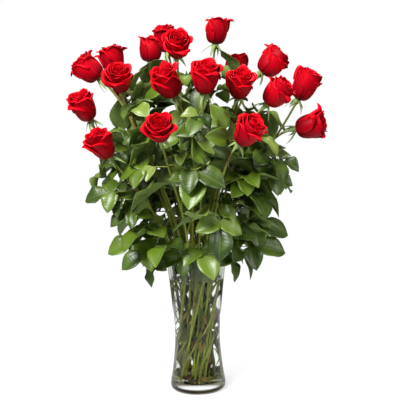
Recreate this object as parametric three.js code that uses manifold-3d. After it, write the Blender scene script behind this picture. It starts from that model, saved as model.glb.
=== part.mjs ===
// A vase of long-stemmed red roses: a flared clear glass vase with a heavy foot, water, leafy stems
// that cross in the waist of the vase, and one bloom on each stem.
// Millimetres, +Z up, origin at the centre of the vase's foot, -Y is the front.

import * as THREE from "three";
import { mergeVertices } from "three/addons/utils/BufferGeometryUtils.js";
import Module from "manifold-3d";

const wasm = await Module();
wasm.setup();

const { degToRad } = THREE.MathUtils;

// ---------------------------------------------------------------- driving dimensions

const VASE_HEIGHT = 250;
const GLASS_WALL = 3.6;
const FOOT_THICKNESS = 18; // solid glass under the water
const WATER_LEVEL = 206;
const VASE_SIDES = 32;
const GAP = 0.35; // between pieces that touch

// Outer outline of the vase, [radius, height], from the foot to the rim.
const VASE_OUTLINE = [
  [46.5, 0],
  [50.4, 5],
  [50.9, 14],
  [47.4, 34],
  [43.6, 66],
  [42.0, 98],
  [43.2, 134],
  [46.4, 170],
  [50.4, 208],
  [55.3, VASE_HEIGHT],
];

const STEM_SIDES = 5;
const HOLE_SIDES = 6; // of a stem's hole in the water
const STEM_RADIUS_FOOT = 3.2;
const STEM_RADIUS_NECK = 2.4;
const STEM_SPACING = 12.5; // between stem centres at the rim
const STEM_REACH_AT_RIM = 44.5; // furthest stem centre from the vase's axis
const STEM_SPREAD = 60; // a stem's distance from the axis at the rim over its lean
const STEM_TWIST = degToRad(76); // from foot to rim, so that all stems cross without touching
const STEM_FOOT_SHARE = 0.9; // a foot's distance from the axis over that at the rim
const STEM_BENDS = 6; // straight lengths between the rim and the bloom
const LEAVING_PULL = 0.8; // how long a stem keeps its way out of the vase
const ARRIVING_PULL = 0.7; // how early it turns to its bloom
const HIP_LENGTH = 13; // the green swelling under a bloom
const HIP_RADIUS = 6.6;
const SEPAL_OUT = 16.5; // from the hip's side to a sepal's tip
const SEPAL_DOWN = 15;

const PETIOLE = 50; // from the stem to the side leaflets
const TERMINAL_AT = 65; // from the stem to the end leaflet
const LEAF_REACH = 121; // from the stem to the tip of the leaf
const SIDE_LEAFLET = { length: 47, half: 16 };
const END_LEAFLET = { length: 56, half: 19 };
const SIDE_ANGLE = degToRad(70); // between a side leaflet and the rib
const LEAFLET_FOLD = 0.3; // radians that each half rises from the midrib
const LEAFLET_BEND = 0.55; // radians from its base to its tip
const BLADE = 0.9; // thickness
const RIB_HALF = 1.1; // half of the rib's width
const LEAVES_PER_STEM = 3;

// How near a leaf's middle surface may come to other things.
const LEAF_ROOM = 7;
const ENOUGH_ROOM = 20;
const STEM_ROOM = 7;
const SEPAL_ROOM = 17;
const BLOOM_ROOM = 5;
const RIM_ROOM = 7;

// How far the foliage reaches from the vase's axis, [radius, height], and its depth over its width.
const FOLIAGE_OUTLINE = [
  [60, 185],
  [106, 205],
  [162, 262],
  [174, 300],
  [184, 365],
  [182, 450],
  [165, 540],
  [50, 625],
];
const FOLIAGE_DEPTH = 0.88;

// Where leaves start, as shares of the stem from the rim to the bloom: outer stems bear them lower.
const LOWEST_OUTSIDE = 0.12;
const LOWEST_INSIDE = 0.3;
const HIGHEST = 0.76;

// What is tried for each leaf: its place along the stem, and in degrees its swing and lift.
const SHIFTS = [0, -0.06, 0.06, -0.12, 0.12];
const SWINGS = [0, 25, -25, 50, -50, 80, -80, 115, -115, 150, -150];
const LIFTS = [0, 22, -22, 44, -44];
const GROWTH_SEED = 4;

const GREEN = { color: 0x2f5a22, roughness: 0.5, metalness: 0 };
const RED = { color: 0xb3061c, roughness: 0.55, metalness: 0 };
const GLASS = { color: 0xdfe9e6, roughness: 0.05, metalness: 0 };
const WATER = { color: 0xc6d6d2, roughness: 0.02, metalness: 0 };

// One row for each rose: the point where the bloom sits on its hip, the way the bloom faces,
// its radius and height, and how far it is turned about its own axis, in degrees.
const ROSES = [
  { at: [-169, 10, 574], faces: [-0.73, -0.05, 0.68], radius: 27, height: 52, turn: 10 },
  { at: [-141, 38, 579], faces: [-0.2, 0.05, 0.98], radius: 27, height: 56, turn: 40 },
  { at: [-122, -62, 555], faces: [-0.16, -0.65, 0.75], radius: 31, height: 56, turn: 65 },
  { at: [-80, 108, 600], faces: [0.05, 0.12, 0.98], radius: 26, height: 46, turn: 25 },
  { at: [-46, 55, 619], faces: [-0.25, 0.1, 0.97], radius: 25, height: 52, turn: 0 },
  { at: [-27, -20, 612], faces: [0.02, -0.7, 0.71], radius: 30, height: 54, turn: 50 },
  { at: [-32, -84, 545], faces: [-0.42, -0.4, 0.82], radius: 29, height: 59, turn: 15 },
  { at: [41, 30, 631], faces: [0.14, 0, 0.99], radius: 24, height: 49, turn: 30 },
  { at: [18, -106, 550], faces: [0.08, -0.42, 0.9], radius: 30, height: 59, turn: 70 },
  { at: [80, 78, 564], faces: [0.02, 0.15, 0.98], radius: 25, height: 50, turn: 20 },
  { at: [77, -72, 541], faces: [0.1, -0.62, 0.78], radius: 28, height: 57, turn: 55 },
  { at: [124, 26, 578], faces: [0.7, 0, 0.7], radius: 30, height: 56, turn: 5 },
  { at: [128, -62, 527], faces: [0.62, -0.3, 0.72], radius: 29, height: 56, turn: 35 },
  { at: [187, 0, 531], faces: [0.45, -0.1, 0.88], radius: 28, height: 60, turn: 60 },
  { at: [-184, -22, 502], faces: [-0.36, -0.35, 0.86], radius: 27, height: 57, turn: 22 },
  { at: [-147, -72, 441], faces: [-0.5, -0.35, 0.79], radius: 28, height: 56, turn: 48 },
  { at: [-55, -150, 477], faces: [-0.08, -0.72, 0.68], radius: 30, height: 54, turn: 12 },
  { at: [75, -147, 468], faces: [0.5, -0.5, 0.7], radius: 29, height: 58, turn: 33 },
  { at: [181, -32, 480], faces: [0.92, -0.3, 0.22], radius: 28, height: 55, turn: 68 },
  { at: [-132, 98, 534], faces: [-0.1, 0.3, 0.95], radius: 25, height: 52, turn: 8 },
  { at: [-68, 150, 450], faces: [-0.25, 0.5, 0.83], radius: 27, height: 54, turn: 52 },
  { at: [6, 172, 380], faces: [0.05, 0.66, 0.75], radius: 28, height: 55, turn: 27 },
  { at: [91, 150, 441], faces: [0.3, 0.5, 0.81], radius: 27, height: 54, turn: 44 },
  { at: [22, 122, 540], faces: [0.06, 0.2, 0.97], radius: 25, height: 50, turn: 62 },
];

// ---------------------------------------------------------------- small helpers

const vec = (x, y, z) => new THREE.Vector3(x, y, z);
const mix = (a, b, share) => a + (b - a) * share;
const polar = (radius, angle) => [radius * Math.cos(angle), radius * Math.sin(angle)];

// The radius of an outline, [radius, height] from the bottom up, at a height.
function radiusAt(outline, height) {
  const above = outline.findIndex(([, h]) => h >= height);
  const i = above < 0 ? outline.length - 1 : Math.max(1, above);
  const [[r0, h0], [r1, h1]] = [outline[i - 1], outline[i]];
  return mix(r0, r1, (height - h0) / (h1 - h0));
}

// The minimal standard generator, so that every run grows the same bouquet.
function seeded(seed) {
  let state = seed;
  return () => {
    state = (state * 16807) % 2147483647;
    return state / 2147483647;
  };
}

function solid(geometry) {
  const bare = geometry.clone();
  bare.deleteAttribute("normal");
  bare.deleteAttribute("uv");
  const merged = mergeVertices(bare, 1e-4);
  return new wasm.Manifold(
    new wasm.Mesh({
      numProp: 3,
      vertProperties: new Float32Array(merged.attributes.position.array),
      triVerts: new Uint32Array(merged.index.array),
    }),
  );
}

// The largest body of a join or cut, without the hollows that it sealed and the scraps that it left.
function mainBody(manifold) {
  return manifold.decompose().reduce((a, b) => (a.volume() > b.volume() ? a : b));
}

function geometryOf(manifold) {
  const { numProp, numVert, vertProperties, triVerts } = manifold.getMesh();
  const position = new Float32Array(numVert * 3);
  for (let i = 0; i < numVert; i++) {
    position.set(vertProperties.subarray(i * numProp, i * numProp + 3), i * 3);
  }
  return new THREE.BufferGeometry()
    .setAttribute("position", new THREE.BufferAttribute(position, 3))
    .setIndex(new THREE.BufferAttribute(new Uint32Array(triVerts), 1));
}

function geometryFrom(points, triangles) {
  return new THREE.BufferGeometry().setFromPoints(points).setIndex(triangles.flat());
}

function named(name, geometry, look) {
  const mesh = new THREE.Mesh(geometry, new THREE.MeshStandardMaterial(look));
  mesh.name = name;
  return mesh;
}

// ---------------------------------------------------------------- where each stem runs

// Stems that lean more leave the rim further out, and then push each other apart.
function spreadAtRim() {
  const ROUNDS = 200;
  const spots = ROSES.map(({ at: [x, y, z] }) => {
    const out = Math.hypot(x, y);
    const lean = out / (z - VASE_HEIGHT);
    const reach = Math.min(STEM_REACH_AT_RIM, STEM_SPREAD * lean);
    return [(x / out) * reach, (y / out) * reach];
  });
  for (let round = 0; round < ROUNDS; round++) {
    for (let i = 0; i < spots.length; i++) {
      for (let j = i + 1; j < spots.length; j++) {
        const dx = spots[j][0] - spots[i][0];
        const dy = spots[j][1] - spots[i][1];
        const apart = Math.hypot(dx, dy);
        const push = (STEM_SPACING - apart) / 2;
        if (push <= 0) continue;
        spots[i][0] -= (dx / apart) * push;
        spots[i][1] -= (dy / apart) * push;
        spots[j][0] += (dx / apart) * push;
        spots[j][1] += (dy / apart) * push;
      }
    }
    for (const spot of spots) {
      const out = Math.hypot(spot[0], spot[1]);
      const shrink = Math.min(1, STEM_REACH_AT_RIM / out);
      spot[0] *= shrink;
      spot[1] *= shrink;
    }
  }
  return spots;
}

// A stem is straight from its foot to the rim, and then bends to meet its bloom squarely.
function stemOf(rose, [rimX, rimY]) {
  const cos = Math.cos(-STEM_TWIST) * STEM_FOOT_SHARE;
  const sin = Math.sin(-STEM_TWIST) * STEM_FOOT_SHARE;
  const foot = vec(cos * rimX - sin * rimY, sin * rimX + cos * rimY, FOOT_THICKNESS + GAP);
  const rim = vec(rimX, rimY, VASE_HEIGHT);
  const axis = vec(...rose.faces).normalize();
  const bloomAt = vec(...rose.at);
  const neck = bloomAt.clone().addScaledVector(axis, -HIP_LENGTH);
  const span = rim.distanceTo(neck);
  const leave = rim.clone().sub(foot).normalize().multiplyScalar(LEAVING_PULL * span);
  const arrive = axis.clone().multiplyScalar(ARRIVING_PULL * span);
  const CORE = [0.25, 0.7]; // a line of the bloom's radius round it holds the whole bloom
  const core = CORE.map((share) => bloomAt.clone().addScaledVector(axis, share * rose.height));
  return { ...rose, foot, rim, neck, axis, bloomAt, core, leave, arrive };
}

// The stem's centre, share 0 at the rim and 1 at the neck: a cubic Hermite curve.
function alongStem(stem, share) {
  const s2 = share * share;
  const s3 = s2 * share;
  return stem.rim
    .clone()
    .multiplyScalar(2 * s3 - 3 * s2 + 1)
    .addScaledVector(stem.leave, s3 - 2 * s2 + share)
    .addScaledVector(stem.neck, 3 * s2 - 2 * s3)
    .addScaledVector(stem.arrive, s3 - s2);
}

// ---------------------------------------------------------------- where each leaf grows

// A leaf's own frame: base, the way it sets out, its upper side, which faces away from the vase's axis by
// some share, and how much it droops.
function leafFrame(base, azimuth, elevation, outward, facing, size, droop) {
  const out = vec(...polar(Math.cos(elevation), azimuth), Math.sin(elevation));
  const up = vec(...polar(facing, outward), 1);
  up.addScaledVector(out, -up.dot(out)).normalize();
  return { base, out, up, side: up.clone().cross(out), size, droop };
}

// A point of the leaf's rib line, with the directions there.
function alongRachis(leaf, run) {
  const curve = leaf.droop / LEAF_REACH;
  const turn = curve * run;
  const out = leaf.out.clone().multiplyScalar(Math.cos(turn)).addScaledVector(leaf.up, -Math.sin(turn));
  const up = leaf.up.clone().multiplyScalar(Math.cos(turn)).addScaledVector(leaf.out, Math.sin(turn));
  const at = leaf.base
    .clone()
    .addScaledVector(leaf.out, (leaf.size * Math.sin(turn)) / curve)
    .addScaledVector(leaf.up, (-leaf.size * (1 - Math.cos(turn))) / curve);
  return { at, out, up };
}

// A point of a leaflet: along is a share of its length, across is in half widths. hand is 0 for the end
// leaflet, and 1 or -1 for one at the side.
function onLeaflet(leaf, shape, run, hand, along, across) {
  const { at, out, up } = alongRachis(leaf, run);
  const angle = hand * SIDE_ANGLE;
  const way = out.clone().multiplyScalar(Math.cos(angle)).addScaledVector(leaf.side, Math.sin(angle));
  const side = up.clone().cross(way);
  const curve = LEAFLET_BEND / shape.length;
  const length = along * shape.length;
  const width = across * shape.half;
  return at
    .addScaledVector(way, (leaf.size * Math.sin(curve * length)) / curve)
    .addScaledVector(up, (-leaf.size * (1 - Math.cos(curve * length))) / curve)
    .addScaledVector(side, leaf.size * width * Math.cos(LEAFLET_FOLD))
    .addScaledVector(up, leaf.size * Math.abs(width) * Math.sin(LEAFLET_FOLD));
}

// Each leaflet of a leaf: its shape, where it joins the rib line, and its hand.
const LEAFLETS = [
  [END_LEAFLET, TERMINAL_AT, 0],
  [SIDE_LEAFLET, PETIOLE, 1],
  [SIDE_LEAFLET, PETIOLE, -1],
];

// Points all over a leaf, which stand for it where room is sought.
function feelers(leaf) {
  const RIB = [5, 11, 17, 24, 31, 38, 44, 57, 64];
  const MIDRIB = [0.1, 0.3, 0.5, 0.7, 0.88, 1];
  const HALVES = [
    [0.15, 0.5],
    [0.3, 1],
    [0.42, 0.5],
    [0.5, 0.94],
    [0.68, 0.72],
    [0.85, 0.35],
  ];
  const spots = [
    ...MIDRIB.map((along) => [along, 0]),
    ...HALVES,
    ...HALVES.map(([along, across]) => [along, -across]),
  ];
  const onRib = RIB.map((run) => alongRachis(leaf, run).at);
  const onBlades = LEAFLETS.flatMap(([shape, run, hand]) =>
    spots.map(([along, across]) => onLeaflet(leaf, shape, run, hand, along, across)),
  );
  return [...onRib, ...onBlades];
}

function distanceToLine(point, from, to) {
  const line = to.clone().sub(from);
  const share = point.clone().sub(from).dot(line) / line.lengthSq();
  return point.distanceTo(from.clone().addScaledVector(line, Math.min(1, Math.max(0, share))));
}

// How free a leaf is: its least distance to other leaves, or 0 where it meets something.
function freedom(points, ownStem, stems, taken) {
  for (const { x, y, z } of points) {
    if (z < VASE_HEIGHT + RIM_ROOM && Math.hypot(x, y) < VASE_OUTLINE.at(-1)[0] + RIM_ROOM) return 0;
    if (Math.hypot(x, y / FOLIAGE_DEPTH) > radiusAt(FOLIAGE_OUTLINE, z)) return 0;
  }
  for (const stem of stems) {
    for (const point of points) {
      if (distanceToLine(point, ...stem.core) < stem.radius + BLOOM_ROOM) return 0;
      if (stem === ownStem) continue;
      if (distanceToLine(point, stem.neck, stem.bloomAt) < SEPAL_ROOM) return 0;
      for (let i = 0; i < STEM_BENDS; i++) {
        if (distanceToLine(point, stem.bends[i], stem.bends[i + 1]) < STEM_ROOM) return 0;
      }
    }
  }
  let least = ENOUGH_ROOM;
  for (const point of points) {
    for (const other of taken) {
      least = Math.min(least, point.distanceTo(other));
    }
    if (least < LEAF_ROOM) return 0;
  }
  return least;
}

// The freest of all the places tried for a leaf, near where and how it wants to grow.
function freestLeaf(stem, stems, taken, { share, swing, lift, facing, size, droop }) {
  let best = null;
  for (const shift of SHIFTS) {
    const base = alongStem(stem, share + shift);
    const outward = Math.atan2(base.y, base.x);
    for (const moreSwing of SWINGS) {
      for (const moreLift of LIFTS) {
        const azimuth = outward + degToRad(swing + moreSwing);
        const elevation = degToRad(lift + moreLift);
        const leaf = leafFrame(base, azimuth, elevation, outward, facing, size, droop);
        const points = feelers(leaf);
        const free = freedom(points, stem, stems, taken);
        const effort = 0.05 * Math.abs(moreSwing) + 0.08 * Math.abs(moreLift) + 25 * Math.abs(shift);
        const score = free - effort;
        if (free && (!best || score > best.score)) best = { score, leaf, points };
      }
    }
  }
  return best;
}

// Leaves leave each stem in turn to its left and right, from the rim up. One that finds no room is left out.
function growLeaves(stems) {
  const random = seeded(GROWTH_SEED);
  const between = (low, high) => mix(low, high, random());
  const taken = [];
  for (const stem of stems) stem.leaves = [];
  for (let tier = 0; tier < LEAVES_PER_STEM; tier++) {
    for (const stem of stems) {
      const outside = Math.min(1, Math.hypot(stem.rim.x, stem.rim.y) / STEM_REACH_AT_RIM);
      const lowest = mix(LOWEST_INSIDE, LOWEST_OUTSIDE, outside);
      const share = mix(lowest, HIGHEST, tier / (LEAVES_PER_STEM - 1));
      const wish = {
        share,
        swing: (tier % 2 ? -1 : 1) * between(15, 45),
        lift: mix(5, 35, share) + between(-10, 10),
        facing: between(0.3, 1),
        size: between(0.88, 1.12),
        droop: between(0.6, 1.2),
      };
      const found = freestLeaf(stem, stems, taken, wish);
      if (!found) continue;
      stem.leaves.push(found.leaf);
      taken.push(...found.points);
    }
  }
}

// ---------------------------------------------------------------- leaf, stem, bloom

// A leaf in one arched blade, cut to the rib between its end leaflet and the pair below it.
function leafGeometry(leaf) {
  const places = []; // on the blade's middle surface, with the way to its upper face
  const faces = [];
  const put = (at, up) => places.push({ at, up }) - 1;
  const rib = (run, hand) => {
    const { at, up } = alongRachis(leaf, run);
    return put(at.addScaledVector(leaf.side, hand * RIB_HALF), up);
  };
  const quad = (a, b, c, d) => faces.push([a, b, c], [a, c, d]);

  const JOINT = 2; // half of the length of rib where a side leaflet joins it
  const start = [rib(0, 1), rib(0, -1)];
  const below = [rib(PETIOLE - JOINT, 1), rib(PETIOLE - JOINT, -1)];
  const above = [rib(PETIOLE + JOINT, 1), rib(PETIOLE + JOINT, -1)];
  const end = [rib(TERMINAL_AT, 1), rib(TERMINAL_AT, -1)];
  quad(start[0], start[1], below[1], below[0]);
  quad(below[0], below[1], above[1], above[0]);
  quad(above[0], above[1], end[1], end[0]);

  const leaflet = (shape, run, hand, left, right) => {
    const point = (along, across) =>
      put(onLeaflet(leaf, shape, run, hand, along, across), alongRachis(leaf, run).up);
    const wide = [point(0.3, 1), point(0.3, -1)];
    const narrow = [point(0.68, 0.72), point(0.68, -0.72)];
    const tip = point(1, 0);
    faces.push([left, right, tip]);
    faces.push([left, tip, narrow[0]], [left, narrow[0], wide[0]]);
    faces.push([right, narrow[1], tip], [right, wide[1], narrow[1]]);
  };
  leaflet(END_LEAFLET, TERMINAL_AT, 0, end[0], end[1]);
  leaflet(SIDE_LEAFLET, PETIOLE, 1, below[0], above[0]);
  leaflet(SIDE_LEAFLET, PETIOLE, -1, above[1], below[1]);
  return blade(places, faces);
}

// Both faces of a thin blade are split alike, and its open edges are walled.
function blade(places, faces) {
  const count = places.length;
  const points = [
    ...places.map(({ at, up }) => at.clone().addScaledVector(up, BLADE / 2)),
    ...places.map(({ at, up }) => at.clone().addScaledVector(up, -BLADE / 2)),
  ];
  const triangles = [];
  const edges = new Set(faces.flatMap(([a, b, c]) => [`${a},${b}`, `${b},${c}`, `${c},${a}`]));
  for (const [a, b, c] of faces) {
    triangles.push([a, b, c], [c + count, b + count, a + count]);
  }
  for (const edge of edges) {
    const [a, b] = edge.split(",").map(Number);
    if (edges.has(`${b},${a}`)) continue;
    triangles.push([b, a, a + count], [b, a + count, b + count]);
  }
  return geometryFrom(points, triangles);
}

// The stem's sections, from its foot to the top of its hip: centre, way and radius.
function stemSections(stem) {
  const hipAt = (share) => stem.neck.clone().lerp(stem.bloomAt, share);
  const sections = [{ at: stem.foot, way: vec(0, 0, 1), radius: STEM_RADIUS_FOOT }];
  stem.bends.forEach((at, i) => {
    const before = i ? stem.bends[i - 1] : stem.foot;
    const after = stem.bends[i + 1] ?? stem.bloomAt;
    const way = after.clone().sub(before).normalize();
    sections.push({ at, way, radius: mix(STEM_RADIUS_FOOT, STEM_RADIUS_NECK, (i + 1) / STEM_BENDS) });
  });
  sections.push({ at: hipAt(0.72), way: stem.axis, radius: HIP_RADIUS });
  sections.push({ at: hipAt(1), way: stem.axis, radius: HIP_RADIUS * 0.9 });
  return sections;
}

// The stem with its hip, and a reflexed sepal on each of the hip's five sides.
function stemGeometry(stem) {
  const sections = stemSections(stem);
  const points = [];
  let across = vec(1, 0, 0);
  for (const { at, way, radius } of sections) {
    across = across.clone().addScaledVector(way, -across.dot(way)).normalize();
    const other = way.clone().cross(across);
    for (let i = 0; i < STEM_SIDES; i++) {
      const [a, b] = polar(radius, (2 * Math.PI * i) / STEM_SIDES);
      points.push(at.clone().addScaledVector(across, a).addScaledVector(other, b));
    }
  }

  const corner = (section, i) => section * STEM_SIDES + (i % STEM_SIDES);
  const top = sections.length - 1;
  const triangles = [];
  for (let section = 0; section < top; section++) {
    for (let i = 0; i < STEM_SIDES; i++) {
      const a = corner(section, i);
      const b = corner(section, i + 1);
      const c = corner(section + 1, i + 1);
      const d = corner(section + 1, i);
      if (section < top - 1) {
        triangles.push([a, b, c], [a, c, d]);
        continue;
      }
      const middle = [b, c, d].reduce((sum, k) => sum.add(points[k]), points[a].clone()).divideScalar(4);
      const away = middle.clone().sub(stem.bloomAt);
      away.addScaledVector(stem.axis, -away.dot(stem.axis)).normalize();
      const tip = points.length;
      points.push(middle.addScaledVector(away, SEPAL_OUT).addScaledVector(stem.axis, -SEPAL_DOWN));
      triangles.push([a, b, tip], [b, c, tip], [c, d, tip], [d, a, tip]);
    }
  }
  for (let i = 1; i < STEM_SIDES - 1; i++) {
    triangles.push([corner(0, 0), corner(0, i + 1), corner(0, i)]);
    triangles.push([corner(top, 0), corner(top, i), corner(top, i + 1)]);
  }
  return geometryFrom(points, triangles);
}

// A bloom is turned about its axis and then raised by formula: five outer petals that overlap like tiles,
// with tips that roll outwards, three petals in the next layer, and the rolled bud in the middle. In each
// layer out and up are shares of the bloom's radius and height, lap is how far a petal rises over its
// neighbour, tip and curl are how far the petals' tips roll out, and peak is how far they stand up.
function bloomGeometry(radius, height) {
  const PETALS = 5;
  const INNER_PETALS = 3;
  const PER_PETAL = 3;
  const COLUMNS = PETALS * PER_PETAL;
  const STEPS = [0, 33, 66]; // degrees, so that one petal's end lies close to the next one's start
  const LAYERS = [
    { out: 0, up: 0 },
    { out: 0.2, up: 0 },
    { out: 0.64, up: 0.12, lap: 0.06 },
    { out: 0.82, up: 0.42, lap: 0.08 },
    { out: 0.85, up: 0.76, lap: 0.05, tip: 0.14, peak: 0.03 },
    { out: 0.66, up: 0.55 },
    { out: 0.58, up: 0.9, curl: 0.06, peak: 0.04 },
    { out: 0.4, up: 0.66 },
    { out: 0.3, up: 0.97, curl: 0.05, peak: 0.03 },
    { out: 0, up: 0.78 },
  ];
  const outline = LAYERS.map(({ out, up }) => new THREE.Vector2(out * radius, up * height));
  const geometry = new THREE.LatheGeometry(outline, COLUMNS);
  const position = geometry.attributes.position;
  for (let turn = 0; turn <= COLUMNS; turn++) {
    const column = turn % COLUMNS;
    const petal = Math.floor(column / PER_PETAL);
    const part = column % PER_PETAL;
    const angle = degToRad((360 / PETALS) * petal + STEPS[part]);
    const onTip = part === 1 ? 1 : 0;
    const innerTip = Math.cos((INNER_PETALS * 2 * Math.PI * (column - 2)) / COLUMNS);
    LAYERS.forEach(({ out, up, lap = 0, tip = 0, curl = 0, peak = 0 }, row) => {
      const share = out + lap * (part / 2 - 0.5) + tip * onTip + curl * innerTip;
      const lift = up + peak * (tip ? onTip : innerTip);
      const [x, z] = polar(radius * share, -angle);
      position.setXYZ(turn * LAYERS.length + row, x, height * lift, z);
    });
  }
  return geometry;
}

// ---------------------------------------------------------------- vase and water

// A round body from its profile, [radius, height].
function lathe(profile) {
  const points = profile.map(([radius, height]) => new THREE.Vector2(radius, height));
  return new THREE.LatheGeometry(points, VASE_SIDES).rotateX(Math.PI / 2);
}

// The inside follows the outline at the wall's thickness, from the top of the heavy foot up.
function insideOutline(offset, floor, top) {
  const heights = VASE_OUTLINE.map(([, h]) => h).filter((h) => h > floor && h < top);
  return [floor, ...heights, top].map((h) => [radiusAt(VASE_OUTLINE, h) - GLASS_WALL - offset, h]);
}

function vaseGeometry() {
  const inside = insideOutline(0, FOOT_THICKNESS, VASE_HEIGHT).reverse();
  return lathe([[0, 0], ...VASE_OUTLINE, ...inside, [0, FOOT_THICKNESS]]);
}

// The water fills the vase to its level, and each stem stands in a plain hole in it.
function waterGeometry(stems) {
  const floor = FOOT_THICKNESS + GAP;
  const inside = insideOutline(GAP, floor, WATER_LEVEL);
  const holeRadius = (STEM_RADIUS_FOOT + GAP) / Math.cos(Math.PI / HOLE_SIDES);
  let water = solid(lathe([[0, floor], ...inside, [0, WATER_LEVEL]]));
  for (const { foot, rim } of stems) {
    const line = rim.clone().sub(foot);
    const hole = new THREE.CylinderGeometry(holeRadius, holeRadius, 1.2 * line.length(), HOLE_SIDES);
    hole.applyQuaternion(new THREE.Quaternion().setFromUnitVectors(vec(0, 1, 0), line.normalize()));
    const middle = foot.clone().lerp(rim, 0.5);
    hole.translate(middle.x, middle.y, middle.z);
    water = water.subtract(solid(hole));
  }
  return geometryOf(mainBody(water));
}

// ---------------------------------------------------------------- the whole

function leafyStem(stem) {
  const bare = solid(stemGeometry(stem));
  const leafy = stem.leaves.reduce((whole, leaf) => whole.add(solid(leafGeometry(leaf))), bare);
  return geometryOf(mainBody(leafy));
}

function placeBloom(bloom, stem) {
  const up = vec(0, 1, 0);
  bloom.position.copy(stem.bloomAt).addScaledVector(stem.axis, GAP);
  bloom.quaternion.setFromUnitVectors(up, stem.axis);
  bloom.rotateOnAxis(up, degToRad(stem.turn));
}

const rimSpots = spreadAtRim();
const stems = ROSES.map((rose, i) => stemOf(rose, rimSpots[i]));
for (const stem of stems) {
  stem.bends = Array.from({ length: STEM_BENDS + 1 }, (_, i) => alongStem(stem, i / STEM_BENDS));
}
growLeaves(stems);

const bouquet = new THREE.Group();
bouquet.add(named("vase", vaseGeometry(), GLASS));
bouquet.add(named("water", waterGeometry(stems), WATER));
stems.forEach((stem, i) => {
  const number = String(i + 1).padStart(2, "0");
  const bloom = named(`bloom_${number}`, bloomGeometry(stem.radius, stem.height), RED);
  placeBloom(bloom, stem);
  bouquet.add(named(`leafy_stem_${number}`, leafyStem(stem), GREEN), bloom);
});

export default bouquet;
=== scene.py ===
"""A vase of long-stemmed red roses.

The frame holds the vase, its water, two dozen leafy stems and their blooms as faceted solids. This script
grows the same bouquet by the same rules, with every petal, leaflet and sepal as its own thin shell, and
dresses it in glass, water, velvet petals and glossy leaves. The plan is in millimetres, like the frame's
source, and each mesh is scaled to metres as it is made.
"""

import math
from collections import namedtuple

import bpy
import numpy as np
from mathutils import Matrix, Vector
from mathutils.kdtree import KDTree


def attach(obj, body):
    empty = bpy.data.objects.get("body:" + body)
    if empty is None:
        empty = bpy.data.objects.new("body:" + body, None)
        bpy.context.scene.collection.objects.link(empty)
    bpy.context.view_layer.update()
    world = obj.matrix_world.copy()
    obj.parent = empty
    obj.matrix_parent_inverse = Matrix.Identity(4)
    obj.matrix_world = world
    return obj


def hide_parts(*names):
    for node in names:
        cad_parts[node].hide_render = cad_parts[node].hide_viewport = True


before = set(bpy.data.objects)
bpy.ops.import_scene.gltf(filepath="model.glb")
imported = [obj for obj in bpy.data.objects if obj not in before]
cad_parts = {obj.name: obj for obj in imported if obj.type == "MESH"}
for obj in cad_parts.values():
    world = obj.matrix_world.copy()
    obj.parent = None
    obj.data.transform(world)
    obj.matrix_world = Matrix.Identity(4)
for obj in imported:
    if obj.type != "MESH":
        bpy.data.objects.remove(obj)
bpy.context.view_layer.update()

MM = 0.001

# ---------------------------------------------------------------- the vase and the stems, as in the frame

VASE_HEIGHT = 250
GLASS_WALL = 3.6
FOOT_THICKNESS = 18
WATER_LEVEL = 206
GAP = 0.35
VASE_OUTLINE = [
    (46.5, 0),
    (50.4, 5),
    (50.9, 14),
    (47.4, 34),
    (43.6, 66),
    (42.0, 98),
    (43.2, 134),
    (46.4, 170),
    (50.4, 208),
    (55.3, VASE_HEIGHT),
]

STEM_RADIUS_FOOT = 3.2
STEM_SPACING = 12.5
STEM_REACH_AT_RIM = 44.5
STEM_SPREAD = 60
STEM_TWIST = math.radians(76)
STEM_FOOT_SHARE = 0.9
STEM_BENDS = 6
LEAVING_PULL = 0.8
ARRIVING_PULL = 0.7
HIP_LENGTH = 13
HIP_RADIUS = 6.6
BLOOM_CORE = (0.25, 0.7)
SPREAD_ROUNDS = 200

# ---------------------------------------------------------------- the leaves, as in the frame

PETIOLE = 50
TERMINAL_AT = 65
LEAF_REACH = 121
SIDE_LEAFLET = {"length": 47, "half": 16}
END_LEAFLET = {"length": 56, "half": 19}
SIDE_ANGLE = math.radians(70)
LEAFLET_FOLD = 0.3
LEAFLET_BEND = 0.55
LEAVES_PER_STEM = 3
LEAF_ROOM = 7
ENOUGH_ROOM = 20
STEM_ROOM = 7
SEPAL_ROOM = 17
BLOOM_ROOM = 5
RIM_ROOM = 7
FOLIAGE_OUTLINE = [
    (60, 185),
    (106, 205),
    (162, 262),
    (174, 300),
    (184, 365),
    (182, 450),
    (165, 540),
    (50, 625),
]
FOLIAGE_DEPTH = 0.88
LOWEST_OUTSIDE = 0.12
LOWEST_INSIDE = 0.3
HIGHEST = 0.76

# What is tried for each leaf: shifts along the stem, and swings and lifts in degrees, with the effort that
# each takes off its room in millimetres.
SHIFTS = (0, -0.06, 0.06, -0.12, 0.12)
SWINGS = (0, 25, -25, 50, -50, 80, -80, 115, -115, 150, -150)
LIFTS = (0, 22, -22, 44, -44)
SWING_EFFORT = 0.05
LIFT_EFFORT = 0.08
SHIFT_EFFORT = 25

# How the leaves want to grow: the ranges that the draws fall in, with swings and lifts in degrees.
GROWTH_SEED = 4
LEAF_SWING = (15, 45)
LEAF_LIFT = (5, 35)
LEAF_LIFT_STRAY = (-10, 10)
LEAF_FACING = (0.3, 1)
LEAF_SIZE = (0.88, 1.12)
LEAF_DROOP = (0.6, 1.2)

# The leaflets of a leaf: the shape, where its foot sits on the rib, and to which side it points.
LEAFLETS = [(END_LEAFLET, TERMINAL_AT, 0), (SIDE_LEAFLET, PETIOLE, 1), (SIDE_LEAFLET, PETIOLE, -1)]

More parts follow.
